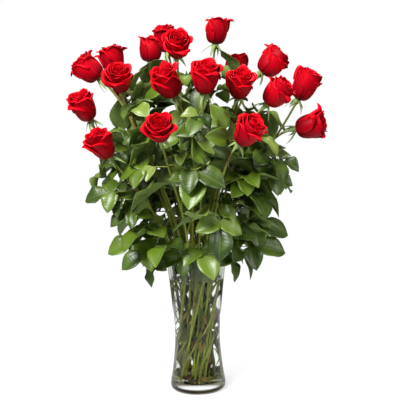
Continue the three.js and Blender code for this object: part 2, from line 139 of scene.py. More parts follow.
# Points all over a leaf, which stand for it where room is sought: runs along its rib in millimetres, and
# places on each leaflet as a share of its length and of its half width.
FEELERS_ON_RIB = (5, 11, 17, 24, 31, 38, 44, 57, 64)
FEELERS_ON_MIDRIB = [(0.1, 0), (0.3, 0), (0.5, 0), (0.7, 0), (0.88, 0), (1, 0)]
FEELERS_ON_HALF = [(0.15, 0.5), (0.3, 1), (0.42, 0.5), (0.5, 0.94), (0.68, 0.72), (0.85, 0.35)]
FEELERS_ON_OTHER_HALF = [(along, -across) for along, across in FEELERS_ON_HALF]
FEELERS_ON_BLADE = FEELERS_ON_MIDRIB + FEELERS_ON_HALF + FEELERS_ON_OTHER_HALF

# One row for each rose: where the bloom sits on its hip, the way it faces, its radius, height and turn,
# and how far it has opened, from 0 to 1.
ROSES = [
    ((-169, 10, 574), (-0.73, -0.05, 0.68), 27, 52, 10, 0.05),
    ((-141, 38, 579), (-0.2, 0.05, 0.98), 27, 56, 40, 0.35),
    ((-122, -62, 555), (-0.16, -0.65, 0.75), 31, 56, 65, 0.9),
    ((-80, 108, 600), (0.05, 0.12, 0.98), 26, 46, 25, 0),
    ((-46, 55, 619), (-0.25, 0.1, 0.97), 25, 52, 0, 0.5),
    ((-27, -20, 612), (0.02, -0.7, 0.71), 30, 54, 50, 0.8),
    ((-32, -84, 545), (-0.42, -0.4, 0.82), 29, 59, 15, 0.35),
    ((41, 30, 631), (0.14, 0, 0.99), 24, 49, 30, 0.1),
    ((18, -106, 550), (0.08, -0.42, 0.9), 30, 59, 70, 0.55),
    ((80, 78, 564), (0.02, 0.15, 0.98), 25, 50, 20, 0.3),
    ((77, -72, 541), (0.1, -0.62, 0.78), 28, 57, 55, 0.6),
    ((124, 26, 578), (0.7, 0, 0.7), 30, 56, 5, 0.35),
    ((128, -62, 527), (0.62, -0.3, 0.72), 29, 56, 35, 0.45),
    ((187, 0, 531), (0.45, -0.1, 0.88), 28, 60, 60, 0.3),
    ((-184, -22, 502), (-0.36, -0.35, 0.86), 27, 57, 22, 0.4),
    ((-147, -72, 441), (-0.5, -0.35, 0.79), 28, 56, 48, 0.45),
    ((-55, -150, 477), (-0.08, -0.72, 0.68), 30, 54, 12, 0.9),
    ((75, -147, 468), (0.5, -0.5, 0.7), 29, 58, 33, 0.6),
    ((181, -32, 480), (0.92, -0.3, 0.22), 28, 55, 68, 0.2),
    ((-132, 98, 534), (-0.1, 0.3, 0.95), 25, 52, 8, 0.4),
    ((-68, 150, 450), (-0.25, 0.5, 0.83), 27, 54, 52, 0.5),
    ((6, 172, 380), (0.05, 0.66, 0.75), 28, 55, 27, 0.4),
    ((91, 150, 441), (0.3, 0.5, 0.81), 27, 54, 44, 0.5),
    ((22, 122, 540), (0.06, 0.2, 0.97), 25, 50, 62, 0.4),
]

# ---------------------------------------------------------------- small helpers

FULL_TURN = 2 * math.pi
DRAW_FACTOR = 16807
DRAW_RANGE = 2147483647
UPRIGHT = np.array([0, 0, 1.0])


def mix(a, b, share):
    return a + (b - a) * share


def unit(vector):
    return vector / np.linalg.norm(vector)


def smooth_step(low, high, value):
    share = np.clip((value - low) / (high - low), 0, 1)
    return share * share * (3 - 2 * share)


def radius_at(outline, height):
    """The radius of an outline, (radius, height) from the bottom up, at each height."""
    radii = np.array([r for r, _ in outline], float)
    heights = np.array([h for _, h in outline], float)
    i = np.clip(np.searchsorted(heights, height), 1, len(heights) - 1)
    return mix(radii[i - 1], radii[i], (height - heights[i - 1]) / (heights[i] - heights[i - 1]))


def seeded(seed):
    """The minimal standard generator, so that every run grows the same bouquet."""
    state = seed

    def draw():
        nonlocal state
        state = (state * DRAW_FACTOR) % DRAW_RANGE
        return state / DRAW_RANGE

    return draw


def between(draw, low, high):
    return mix(low, high, draw())


def either_way(draw):
    return 1 if draw() < 0.5 else -1


# ---------------------------------------------------------------- where each stem runs


def spread_at_rim():
    """Stems that lean more leave the rim further out, and then push each other apart."""
    spots = []
    for (x, y, z), *_ in ROSES:
        out = math.hypot(x, y)
        reach = min(STEM_REACH_AT_RIM, STEM_SPREAD * out / (z - VASE_HEIGHT))
        spots.append([x / out * reach, y / out * reach])
    for _ in range(SPREAD_ROUNDS):
        for i, here in enumerate(spots):
            for there in spots[i + 1:]:
                dx = there[0] - here[0]
                dy = there[1] - here[1]
                apart = math.hypot(dx, dy)
                push = (STEM_SPACING - apart) / 2
                if push <= 0:
                    continue
                here[0] -= dx / apart * push
                here[1] -= dy / apart * push
                there[0] += dx / apart * push
                there[1] += dy / apart * push
        for spot in spots:
            shrink = min(1, STEM_REACH_AT_RIM / math.hypot(*spot))
            spot[0] *= shrink
            spot[1] *= shrink
    return spots


class Stem:
    """A stem is straight from its foot to the rim, and then bends to meet its bloom squarely."""

    def __init__(self, number, rose, rim):
        at, faces, self.radius, self.height, self.turn, self.opened = rose
        cos = math.cos(-STEM_TWIST) * STEM_FOOT_SHARE
        sin = math.sin(-STEM_TWIST) * STEM_FOOT_SHARE
        self.number = number
        self.foot = np.array([
            cos * rim[0] - sin * rim[1],
            sin * rim[0] + cos * rim[1],
            FOOT_THICKNESS + GAP,
        ])
        self.rim = np.array([rim[0], rim[1], VASE_HEIGHT], float)
        self.axis = unit(np.array(faces, float))
        self.bloom_at = np.array(at, float)
        self.neck = self.bloom_at - self.axis * HIP_LENGTH
        span = np.linalg.norm(self.neck - self.rim)
        self.leave = unit(self.rim - self.foot) * LEAVING_PULL * span
        self.arrive = self.axis * ARRIVING_PULL * span
        self.core = [self.bloom_at + self.axis * share * self.height for share in BLOOM_CORE]
        self.bends = [self.along(i / STEM_BENDS) for i in range(STEM_BENDS + 1)]
        self.leaves = []

    def along(self, share):
        """The stem's centre, share 0 at the rim and 1 at the neck: a cubic Hermite curve."""
        s2 = share * share
        s3 = s2 * share
        return (
            self.rim * (2 * s3 - 3 * s2 + 1)
            + self.leave * (s3 - 2 * s2 + share)
            + self.neck * (3 * s2 - 2 * s3)
            + self.arrive * (s3 - s2)
        )


# ---------------------------------------------------------------- where each leaf grows


def leaf_frames(base, azimuth, elevation, outward, facing, size, droop):
    """Leaves' own frames, one for each row of the arrays: base, way out, upper side and left side."""
    out = np.stack([
        np.cos(elevation) * np.cos(azimuth),
        np.cos(elevation) * np.sin(azimuth),
        np.sin(elevation),
    ], -1)
    up = np.stack([
        facing * np.cos(outward),
        facing * np.sin(outward),
        np.ones_like(outward),
    ], -1)
    up = up - out * (up * out).sum(-1, keepdims=True)
    up = up / np.linalg.norm(up, axis=-1, keepdims=True)
    return {"base": base, "out": out, "up": up, "side": np.cross(up, out), "size": size, "droop": droop}


def one_leaf(leaves, i):
    return {key: value[i] if isinstance(value, np.ndarray) else value for key, value in leaves.items()}


def along_rachis(leaf, run):
    """Places on the leaf's rib line, with the directions there. run holds one or more lengths."""
    run = np.asarray(run, float)[..., None]
    curve = leaf["droop"] / LEAF_REACH
    turn = curve * run
    base, way, top = (leaf[key][..., None, :] for key in ("base", "out", "up"))
    out = way * np.cos(turn) - top * np.sin(turn)
    up = top * np.cos(turn) + way * np.sin(turn)
    ahead = way * (leaf["size"] * np.sin(turn) / curve)
    fallen = top * (leaf["size"] * (1 - np.cos(turn)) / curve)
    return base + ahead - fallen, out, up


def on_leaflet(leaf, shape, run, hand, along, across):
    """Places on a leaflet: along is a share of its length, across is in half widths."""
    at, out, up = along_rachis(leaf, [run])
    angle = hand * SIDE_ANGLE
    way = out * math.cos(angle) + leaf["side"][..., None, :] * math.sin(angle)
    side = np.cross(up, way)
    curve = LEAFLET_BEND / shape["length"]
    length = np.asarray(along, float)[..., None] * shape["length"]
    width = np.asarray(across, float)[..., None] * shape["half"]
    size = leaf["size"]
    return (
        at
        + way * (size * np.sin(curve * length) / curve)
        - up * (size * (1 - np.cos(curve * length)) / curve)
        + side * (size * width * math.cos(LEAFLET_FOLD))
        + up * (size * np.abs(width) * math.sin(LEAFLET_FOLD))
    )


def feelers(leaf):
    along, across = np.array(FEELERS_ON_BLADE).T
    on_rib = [along_rachis(leaf, FEELERS_ON_RIB)[0]]
    on_blades = [on_leaflet(leaf, *leaflet, along, across) for leaflet in LEAFLETS]
    return np.concatenate(on_rib + on_blades, -2)


def distance_to_lines(points, starts, ends):
    """The distance from each point to the nearest of the straight lines."""
    lines = ends - starts
    offset = points[:, None, :] - starts
    share = np.clip((offset * lines).sum(-1) / (lines * lines).sum(-1), 0, 1)
    return np.sqrt(((offset - lines * share[..., None]) ** 2).sum(-1))


class Obstacles:
    """Straight lines with the room that each keeps clear."""

    def __init__(self, stems, own):
        lines = []
        for stem in stems:
            lines.append((*stem.core, stem.radius + BLOOM_ROOM))
            if stem is own:
                continue
            lines.append((stem.neck, stem.bloom_at, SEPAL_ROOM))
            lines += [(*pair, STEM_ROOM) for pair in zip(stem.bends, stem.bends[1:])]
        self.starts, self.ends = (np.array([line[k] for line in lines]) for k in (0, 1))
        self.room = np.array([line[2] for line in lines])

    def near(self, centre, reach):
        distance = distance_to_lines(centre[None], self.starts, self.ends)[0]
        chosen = distance < reach + self.room
        return self.starts[chosen], self.ends[chosen], self.room[chosen]


class Taken:
    """The points of the leaves grown so far."""

    TREE_ROUNDING = 0.01

    def __init__(self):
        self.points = np.empty((0, 3))
        self.tree = None

    def add(self, points):
        self.points = np.concatenate([self.points, points])
        self.tree = KDTree(len(self.points))
        for i, point in enumerate(self.points):
            self.tree.insert(point, i)
        self.tree.balance()

    def least_distance(self, points, least_room):
        """The least distance from the points to another leaf's, as soon as it is known to be too little."""
        least = ENOUGH_ROOM
        for point in points:
            _, i, near = self.tree.find(point)
            if near < least + self.TREE_ROUNDING:
                least = min(least, math.dist(point, self.points[i]))
            if least < least_room:
                return 0
        return least


def freedom(points, centre, obstacles, taken, least_room):
    """How free each leaf is: its least distance to other leaves, or 0 where it meets something."""
    reach_at_rim = VASE_OUTLINE[-1][0] + RIM_ROOM
    x, y, z = np.moveaxis(points, -1, 0)
    blocked = (z < VASE_HEIGHT + RIM_ROOM) & (np.hypot(x, y) < reach_at_rim)
    blocked |= np.hypot(x, y / FOLIAGE_DEPTH) > radius_at(FOLIAGE_OUTLINE, z)
    free = np.where(blocked.any(-1), 0.0, ENOUGH_ROOM)
    reach = np.linalg.norm(points[free > 0] - centre, axis=-1).max() if free.any() else 0
    starts, ends, room = obstacles.near(centre, reach)
    for i in np.flatnonzero(free):
        if (distance_to_lines(points[i], starts, ends) < room).any():
            free[i] = 0
        elif taken.tree:
            free[i] = taken.least_distance(points[i], least_room)
    return free


def freest_leaf(stem, stems, taken, wish, least_room):
    """The freest of all the places tried for a leaf, near where and how it wants to grow."""
    tries = [(shift, swing, lift) for shift in SHIFTS for swing in SWINGS for lift in LIFTS]
    shift, swing, lift = np.array(tries, float).T
    bases = np.array([stem.along(wish["share"] + one) for one in SHIFTS])
    base = np.repeat(bases, len(SWINGS) * len(LIFTS), 0)
    outward = np.arctan2(base[:, 1], base[:, 0])
    azimuth = outward + np.radians(wish["swing"] + swing)
    elevation = np.radians(wish["lift"] + lift)
    aim = outward + wish.get("aim", 0)
    leaves = leaf_frames(base, azimuth, elevation, aim, wish["facing"], wish["size"], wish["droop"])
    points = feelers(leaves)
    free = freedom(points, bases[0], Obstacles(stems, stem), taken, least_room)
    effort = SWING_EFFORT * np.abs(swing) + LIFT_EFFORT * np.abs(lift) + SHIFT_EFFORT * np.abs(shift)
    best = np.argmax(np.where(free > 0, free - effort, -np.inf))
    if not free[best]:
        return None
    return one_leaf(leaves, best), points[best]


def hand_of(tier):
    return -1 if tier % 2 else 1


def grow_leaves(stems):
    """Leaves leave each stem in turn to its left and right, from the rim up."""
    draw = seeded(GROWTH_SEED)
    taken = Taken()
    for tier in range(LEAVES_PER_STEM):
        for stem in stems:
            outside = min(1, math.hypot(stem.rim[0], stem.rim[1]) / STEM_REACH_AT_RIM)
            lowest = mix(LOWEST_INSIDE, LOWEST_OUTSIDE, outside)
            share = mix(lowest, HIGHEST, tier / (LEAVES_PER_STEM - 1))
            wish = {
                "share": share,
                "swing": hand_of(tier) * between(draw, *LEAF_SWING),
                "lift": mix(*LEAF_LIFT, share) + between(draw, *LEAF_LIFT_STRAY),
                "facing": between(draw, *LEAF_FACING),
                "size": between(draw, *LEAF_SIZE),
                "droop": between(draw, *LEAF_DROOP),
            }
            found = freest_leaf(stem, stems, taken, wish, LEAF_ROOM)
            if found:
                stem.leaves.append(found[0])
                taken.add(found[1])
    return taken


stems = [Stem(i + 1, rose, rim) for i, (rose, rim) in enumerate(zip(ROSES, spread_at_rim()))]
taken = grow_leaves(stems)

# ---------------------------------------------------------------- more leaves than the frame holds

LOW_PAIR_AT = 27
LOW_LEAFLET = {"length": 37, "half": 13}
LOW_PAIR_ROOM = 3

# Leaves that reach out of the bouquet: the stem's number, the share along it, the azimuth and the elevation
# in degrees, how much the upper side is turned away from the sky, the size and the droop. Above SHOWN_ABOVE
# the upper side is turned to the front, and otherwise the way that the leaf points.
SPRAYS = [
    (16, 0.66, 178, -2, 1.1, 0.84, 0.4),
    (16, 0.50, 196, -12, 0.8, 0.66, 0.5),
    (15, 0.16, 186, -6, 1.0, 0.95, 0.4),
    (16, 0.16, 203, -12, 0.9, 0.85, 0.6),
    (19, 0.08, -6, 0, 1.2, 1.0, 0.3),
    (14, 0.22, -8, -2, 1.1, 1.0, 0.5),
    (13, 0.1, -32, -22, 0.6, 0.72, 1.3),
    (15, 0.08, 214, -24, 0.6, 0.72, 1.3),
    (19, 0.55, -20, 0, 1.0, 0.7, 0.6),
    (14, 0.64, -32, -10, 1.0, 0.6, 0.6),
    (18, 0.04, 187, -1, 1.2, 0.8, 0.5),
]
SHOWN_ABOVE = 0.7
FRONT = -90

# Smaller leaves that fill the bouquet, one row for each round of them: the seed, how many to a stem, where
# along the stem they grow, their size, and the room that each needs.
FILLERS = [
    (11, 6, (0.04, 0.88), (0.6, 0.95), 3),
    (31, 2, (0.06, 0.6), (0.42, 0.6), 1.5),
]
FILLER_SWING = (20, 100)
FILLER_LIFT = (-25, 40)
FILLER_FACING = (0.3, 1.3)
FILLER_DROOP = (0.5, 1.4)
FILLER_AIM = (-1.3, 1.3)

# The rim and the stems above it show from the front, so no leaf is added before them.
FRONT_CLEAR_BELOW = 262
FRONT_CLEAR_REACH = 75
STEMS_SEEN_BELOW = 410
STEMS_SEEN_X = (-60, 36)

# Limp leaves and side shoots in the vase, one row for each kind on every stem: how many, between which
# shares of the stem's run through the vase they start, the least and the greatest length and half width,
# whether they keep to the middle (-1) or to the wall (1), and whether they lie along the stem (0) or
# around the floor (1).
STEEPED = [
    (6, (0.03, 0.85), (30, 64), (2.4, 5.5), -1, 0),
    (3, (0.03, 0.80), (45, 90), (0.8, 1.5), 1, 0),
    (3, (0.78, 0.97), (22, 44), (2.2, 5.5), 1, 0),
    (2, (0.012, 0.05), (14, 30), (1.5, 4.5), 1, 1),
]
STEEPED_SEED = 23
STEEPED_TRIES = 10
STEEPED_WALL_ROOM = 1.2
STEEPED_STEM_ROOM = 2.3
STEEPED_OFF_STEM = 0.5
STEEPED_SIDEWAYS = (-0.4, 0.4)
STEEPED_OUTWARDS = (-0.15, 0.25)
STEEPED_DROOP = (0.05, 0.4)
WORTH_OF_ROOM = 100


def hides_stems(points):
    """Whether a leaf hides the rim, or the stems above it, which show from the front."""
    x, y, z = points.T
    at_rim = (z < FRONT_CLEAR_BELOW) & (np.hypot(x, y) < FRONT_CLEAR_REACH)
    at_stems = (z < STEMS_SEEN_BELOW) & (x > STEMS_SEEN_X[0]) & (x < STEMS_SEEN_X[1])
    return ((y < 0) & (at_rim | at_stems)).any()


def own_lines(stem):
    return np.array(stem.bends[:-1]), np.array(stem.bends[1:])


def grow_low_pairs(stems, taken):
    """The pair of smaller leaflets nearest the stem, on each side that has room for one."""
    along, across = np.array(FEELERS_ON_BLADE).T
    for stem in stems:
        obstacles = Obstacles(stems, stem)
        for leaf in stem.leaves:
            pair = [on_leaflet(leaf, LOW_LEAFLET, LOW_PAIR_AT, hand, along, across) for hand in (1, -1)]
            leaf["low"] = []
            for hand, points in zip((1, -1), pair):
                if distance_to_lines(points, *own_lines(stem)).min() <= STEM_RADIUS_FOOT:
                    continue
                if hides_stems(points):
                    continue
                if freedom(points[None], points.mean(0), obstacles, taken, LOW_PAIR_ROOM)[0]:
                    leaf["low"].append(hand)
                    taken.add(points)


def grow_sprays(stems, taken):
    """Leaves that are placed one by one, and take their room before the smaller leaves are grown."""
    for number, share, azimuth, elevation, facing, size, droop in SPRAYS:
        stem = stems[number - 1]
        base = stem.along(share)
        aim = np.radians(FRONT if facing > SHOWN_ABOVE else azimuth)
        leaf = leaf_frames(base, np.radians(azimuth), np.radians(elevation), aim, facing, size, droop)
        stem.leaves.append(leaf)
        taken.add(feelers(leaf))


def grow_more_leaves(stems, taken, seed, tiers, shares, sizes, least_room):
    """Smaller leaves fill the room that is left, so that the bouquet is as dense as a real one."""
    draw = seeded(seed)
    for tier in range(tiers):
        for stem in stems:
            wish = {
                "share": between(draw, *shares),
                "swing": hand_of(tier) * between(draw, *FILLER_SWING),
                "lift": between(draw, *FILLER_LIFT),
                "facing": between(draw, *FILLER_FACING),
                "size": between(draw, *sizes),
                "droop": between(draw, *FILLER_DROOP),
                "aim": between(draw, *FILLER_AIM),
            }
            found = freest_leaf(stem, stems, taken, wish, least_room)
            if found and not hides_stems(found[1]):
                stem.leaves.append(found[0])
                taken.add(found[1])


def room_in_vase(points, starts, ends):
    """How free a leaf is in the vase: its least distance to other stems, or 0 at the wall or the floor."""
    x, y, z = points.T
    wall = radius_at(VASE_OUTLINE, np.clip(z, 0, VASE_HEIGHT)) - GLASS_WALL - STEEPED_WALL_ROOM
    if (np.hypot(x, y) > wall).any() or (z < FOOT_THICKNESS + STEEPED_WALL_ROOM).any():
        return 0
    return distance_to_lines(points, starts, ends).min()


def steeped_leaf_at(stem, share, length, half, lies_around, draw):
    """A limp leaf that starts on the stem and lies along it, up or down, or around the floor."""
    at = mix(stem.foot, stem.rim, share)
    way = unit(stem.rim - stem.foot) * either_way(draw)
    outward = unit(np.array([at[0], at[1], 0]))
    sideways = np.cross(outward, way)
    if lies_around:
        way, sideways = sideways * either_way(draw), way
    aside = sideways * between(draw, *STEEPED_SIDEWAYS)
    out = unit(way + aside + outward * between(draw, *STEEPED_OUTWARDS))
    up = unit(outward - out * out.dot(outward))
    leaf = {
        "base": at + sideways * STEEPED_OFF_STEM,
        "out": out,
        "up": up,
        "side": np.cross(up, out),
        "size": 1,
        "droop": between(draw, *STEEPED_DROOP),
    }
    return leaf, {"length": length, "half": half}


def steep_leaves(stems):
    """For each limp leaf in the vase, the best of a few tries that leave the other stems room."""
    draw = seeded(STEEPED_SEED)
    along, across = np.array(FEELERS_ON_MIDRIB + FEELERS_ON_HALF).T
    for stem in stems:
        others = [other for other in stems if other is not stem]
        starts = np.array([other.foot for other in others])
        ends = np.array([other.rim for other in others])
        stem.steeped = []
        for count, shares, lengths, halves, side, lies_around in STEEPED:
            for step in range(count):
                best = 0
                for _ in range(STEEPED_TRIES):
                    share = mix(*shares, (step + draw()) / count)
                    length = between(draw, *lengths)
                    half = between(draw, *halves)
                    leaf, shape = steeped_leaf_at(stem, share, length, half, lies_around, draw)
                    points = np.concatenate([
                        on_leaflet(leaf, shape, 0, 0, along, across),
                        on_leaflet(leaf, shape, 0, 0, along, -across),
                    ])
                    if room_in_vase(points, starts, ends) < STEEPED_STEM_ROOM:
                        continue
                    worth = WORTH_OF_ROOM + side * np.hypot(*points.T[:2]).mean()
                    if worth > best:
                        best = worth
                        found = leaf, shape
                if best:
                    stem.steeped.append(found)


grow_sprays(stems, taken)
for row in FILLERS:
    grow_more_leaves(stems, taken, *row)
grow_low_pairs(stems, taken)
steep_leaves(stems)

# ---------------------------------------------------------------- modelling by hand

SAME_ROW = 1e-4
SAME_PLACE = 1e-6


def deselect():
    bpy.ops.object.select_all(action="DESELECT")


def active(obj):
    deselect()
    obj.select_set(True)
    bpy.context.view_layer.objects.active = obj


def edit(obj):
    active(obj)
    bpy.ops.object.mode_set(mode="EDIT")


def done():
    bpy.ops.object.mode_set(mode="OBJECT")


def modify(obj, kind, **settings):
    """Adds one modifier and applies it."""
    active(obj)
    modifier = obj.modifiers.new(kind.title(), kind)
    for name, value in settings.items():
        setattr(modifier, name, value)
    bpy.ops.object.modifier_apply(modifier=modifier.name)


def joined(name, objects):
    """The objects as one piece of that name."""
    deselect()
    for obj in objects:
        obj.select_set(True)
    bpy.context.view_layer.objects.active = objects[0]
    bpy.ops.object.join()
    objects[0].name = name
    objects[0].data.name = name
    return objects[0]


def select_row(mesh, height):
    """Selects one row of a grid's vertices in edit mode."""
    bpy.ops.object.mode_set(mode="OBJECT")
    chosen = [abs(vertex.co.y - height) < SAME_ROW for vertex in mesh.vertices]
    mesh.vertices.foreach_set("select", chosen)
    mesh.edges.foreach_set("select", [False] * len(mesh.edges))
    mesh.polygons.foreach_set("select", [False] * len(mesh.polygons))
    bpy.ops.object.mode_set(mode="EDIT")


class Blank:
    """A flat petal, leaflet or sepal, modelled once, that is copied and bent into each of its places."""

    def __init__(self, name, columns, widths):
        """widths holds the half width of each row of vertices, from the foot to the tip."""
        rows = len(widths) - 1
        deselect()
        bpy.ops.mesh.primitive_grid_add(x_subdivisions=columns, y_subdivisions=rows, size=2)
        obj = bpy.context.object
        obj.name = name
        mesh = obj.data
        edit(obj)
        bpy.ops.mesh.select_mode(type="VERT")
        for row, width in enumerate(widths):
            height = 2 * row / rows - 1
            if width != 1:
                select_row(mesh, height)
                bpy.ops.transform.resize(value=(width, 1, 1), center_override=(0, height, 0))
        bpy.ops.mesh.select_all(action="SELECT")
        bpy.ops.mesh.remove_doubles(threshold=SAME_PLACE)
        done()
        flat = np.empty(3 * len(mesh.vertices))
        mesh.vertices.foreach_get("co", flat)
        flat = flat.reshape(-1, 3)
        self.across = flat[:, 0]
        self.along = (flat[:, 1] + 1) / 2
        self.faces = [list(face.vertices) for face in mesh.polygons]
        self.uv = np.empty(2 * len(mesh.loops))
        mesh.uv_layers.active.data.foreach_get("uv", self.uv)
        bpy.data.objects.remove(obj)
        bpy.data.meshes.remove(mesh)

    def copies(self, name, places, tones, flip=False):
        """One mesh object of all the copies. places holds each copy's vertices, and tones its shade."""
        count = len(self.across)
        faces = [face[::-1] for face in self.faces] if flip else self.faces
        whole = [[i + k * count for i in face] for k in range(len(places)) for face in faces]
        mesh = bpy.data.meshes.new(name)
        mesh.from_pydata(np.concatenate(places) * MM, [], whole)
        uv = self.uv.reshape(-1, 2)
        if flip:
            ends = np.cumsum([len(face) for face in self.faces])
            starts = ends - [len(face) for face in self.faces]
            order = np.concatenate([np.arange(start, end)[::-1] for start, end in zip(starts, ends)])
            uv = uv[order]
        layer = mesh.uv_layers.new(name="UVMap")
        layer.data.foreach_set("uv", np.tile(uv, (len(places), 1)).ravel())
        tone = mesh.attributes.new("tone", "FLOAT", "POINT")
        tone.data.foreach_set("value", np.repeat(tones, count))
        mesh.polygons.foreach_set("use_smooth", [True] * len(mesh.polygons))
        obj = bpy.data.objects.new(name, mesh)
        bpy.context.scene.collection.objects.link(obj)
        return obj


# ---------------------------------------------------------------- finishes


MIX_COLOUR_A = 6
MIX_COLOUR_B = 7
MIX_COLOUR_RESULT = 2


class Signal:
    """A node's output, on which sums are written as Python sums."""

    def __init__(self, finish, socket):
        self.finish = finish
        self.socket = socket

    def maths(self, operation, *values):
        return self.finish.node("ShaderNodeMath", {"operation": operation}, dict(enumerate(values)))[0]

    def __add__(self, other):
        return self.maths("ADD", self, other)

    def __sub__(self, other):
        return self.maths("SUBTRACT", self, other)

    def __rsub__(self, other):
        return self.maths("SUBTRACT", other, self)

    def __mul__(self, other):
        return self.maths("MULTIPLY", self, other)

    __radd__ = __add__
    __rmul__ = __mul__

    def sine(self):
        return self.maths("SINE", self)

    def absolute(self):
        return self.maths("ABSOLUTE", self)

    def between(self, low, high):
        """0 at low, 1 at high, smooth in between."""
        settings = {"interpolation_type": "SMOOTHSTEP"}
        inputs = {"Value": self, "From Min": low, "From Max": high, "To Min": 0, "To Max": 1}
        return self.finish.node("ShaderNodeMapRange", settings, inputs)["Result"]


class Outputs:
    """A node's outputs by name or number, as signals."""

    def __init__(self, finish, node):
        self.finish = finish
        self.node = node

    def __getitem__(self, key):
        return Signal(self.finish, self.node.outputs[key])


class Finish:
    """A material with one Principled BSDF, whose constants are set on its own sockets."""

    def __init__(self, name, **constants):
        self.material = bpy.data.materials.new(name)
        self.material.use_nodes = True
        self.tree = self.material.node_tree
        self.shader = self.tree.nodes["Principled BSDF"]
        for socket, value in constants.items():
            self.shader.inputs[socket.replace("_", " ")].default_value = value

    def node(self, kind, settings=None, inputs=None):
        """Adds a node: its settings first, then the values or links of its sockets."""
        node = self.tree.nodes.new(kind)
        for name, value in (settings or {}).items():
            setattr(node, name, value)
        for key, value in (inputs or {}).items():
            if isinstance(value, Signal):
                self.tree.links.new(value.socket, node.inputs[key])
            else:
                node.inputs[key].default_value = value
        return Outputs(self, node)

    def feed(self, socket, signal):
        self.tree.links.new(signal.socket, self.shader.inputs[socket])

    def mixed(self, share, a, b):
        """Colour a where share is 0 and b where it is 1."""
        inputs = {"Factor": share, MIX_COLOUR_A: a, MIX_COLOUR_B: b}
        return self.node("ShaderNodeMix", {"data_type": "RGBA"}, inputs)[MIX_COLOUR_RESULT]

    def uv(self):
        """Across and along, each from 0 to 1, on a blank's copies."""
        layer = self.node("ShaderNodeUVMap", {"uv_map": "UVMap"})["UV"]
        parts = self.node("ShaderNodeSeparateXYZ", None, {"Vector": layer})
        return parts["X"], parts["Y"]

    def place(self):
        return self.node("ShaderNodeTexCoord")["Object"]

    def height(self):
        """The height above what the vase stands on, in metres."""
        return self.node("ShaderNodeSeparateXYZ", None, {"Vector": self.place()})["Z"]

    def tone(self):
        """The shade of each copy of a blank."""
        return self.node("ShaderNodeAttribute", {"attribute_name": "tone"})["Fac"]

    def noise(self, vector, scale, detail=3):
        inputs = {"Vector": vector, "Scale": scale, "Detail": detail}
        return self.node("ShaderNodeTexNoise", None, inputs)["Fac"]

    def roughen(self, signal, least, more):
        self.feed("Roughness", signal * more + least)

    def bump(self, height, strength, distance):
        inputs = {"Height": height, "Strength": strength, "Distance": distance}
        self.feed("Normal", self.node("ShaderNodeBump", None, inputs)["Normal"])


# Colours are in linear light, noise scales in cells for each metre, and heights in metres.
PETAL_SHEEN = (1.0, 0.32, 0.36, 1)
PETAL_VEIN_RED = (0.34, 0.001, 0.012, 1)
PETAL_RIM_RED = (0.25, 0.001, 0.01, 1)
# The foot reds are darker than the lip reds: painted shade, standing in for the shade deep in the bloom.
PETAL_FACE_REDS = {
    "foot_dark": (0.17, 0.0004, 0.004, 1),
    "foot_light": (0.30, 0.0006, 0.006, 1),
    "lip_dark": (0.62, 0.0006, 0.009, 1),
    "lip_light": (0.92, 0.0012, 0.014, 1),
}
PETAL_BACK_REDS = {
    "foot_dark": (0.14, 0.0004, 0.004, 1),
    "foot_light": (0.24, 0.0006, 0.006, 1),
    "lip_dark": (0.42, 0.0006, 0.009, 1),
    "lip_light": (0.80, 0.0012, 0.014, 1),
}
PETAL_FACE_GLARE = 0.10
PETAL_BACK_GLARE = 0.11
PETAL_VEINS = 150
PETAL_VEINS_STRAY = 3
PETAL_MOTTLE_SCALE = 90
PETAL_VEIN_BREAKS_SCALE = 300
PETAL_VEIN_SHARE = 0.15
PETAL_SHADED_FOOT_TO_LIP = (0.1, 0.8)
PETAL_RIM = (0.93, 1.0)
PETAL_RIM_SHARE = 0.35


def petal_velvet(name, glare, foot_dark, foot_light, lip_dark, lip_light):
    """Deep red velvet: darker towards the foot of each petal, a painted shade for the depth of the bloom,
    with fine veins that run up it.
    """
    finish = Finish(
        name,
        IOR=1.4,
        Specular_IOR_Level=glare,
        Sheen_Weight=0.02,
        Sheen_Roughness=0.4,
        Sheen_Tint=PETAL_SHEEN,
    )
    across, along = finish.uv()
    place = finish.place()
    tone = finish.tone()
    mottle = finish.noise(place, PETAL_MOTTLE_SCALE)
    stripes = (across * PETAL_VEINS + mottle * PETAL_VEINS_STRAY).sine() * 0.5 + 0.5
    veins = stripes * finish.noise(place, PETAL_VEIN_BREAKS_SCALE)
    foot = finish.mixed(tone, foot_dark, foot_light)
    lip = finish.mixed(tone, lip_dark, lip_light)
    # Painted shade: the colour darkens from the lip towards the foot, where the bloom is deep.
    colour = finish.mixed(along.between(*PETAL_SHADED_FOOT_TO_LIP), foot, lip)
    colour = finish.mixed(veins * PETAL_VEIN_SHARE, colour, PETAL_VEIN_RED)
    rim = along.between(*PETAL_RIM) * PETAL_RIM_SHARE
    colour = finish.mixed(rim, colour, PETAL_RIM_RED)
    finish.feed("Base Color", colour)
    finish.roughen(mottle, least=0.38, more=0.15)
    finish.bump(veins * 0.5 + mottle, strength=0.2, distance=0.0005)
    return finish.material


LEAFLET_VEINS = 52
LEAFLET_VEIN_SLANT = 0.16
MIDRIB_HALF = 0.06
SIDE_VEIN_SINE = (0.86, 1.0)
SIDE_VEINS_END = (0.75, 0.98)


def vein_net(across, along):
    """A leaflet's veins: 1 on the midrib and on the side veins that slant from it to the edge."""
    off_middle = (across - 0.5).absolute() * 2
    midrib = 1 - off_middle.between(0.0, MIDRIB_HALF)
    slant = (along - off_middle * LEAFLET_VEIN_SLANT) * LEAFLET_VEINS
    side_veins = slant.sine().between(*SIDE_VEIN_SINE) * (1 - off_middle.between(*SIDE_VEINS_END))
    return midrib, side_veins, slant


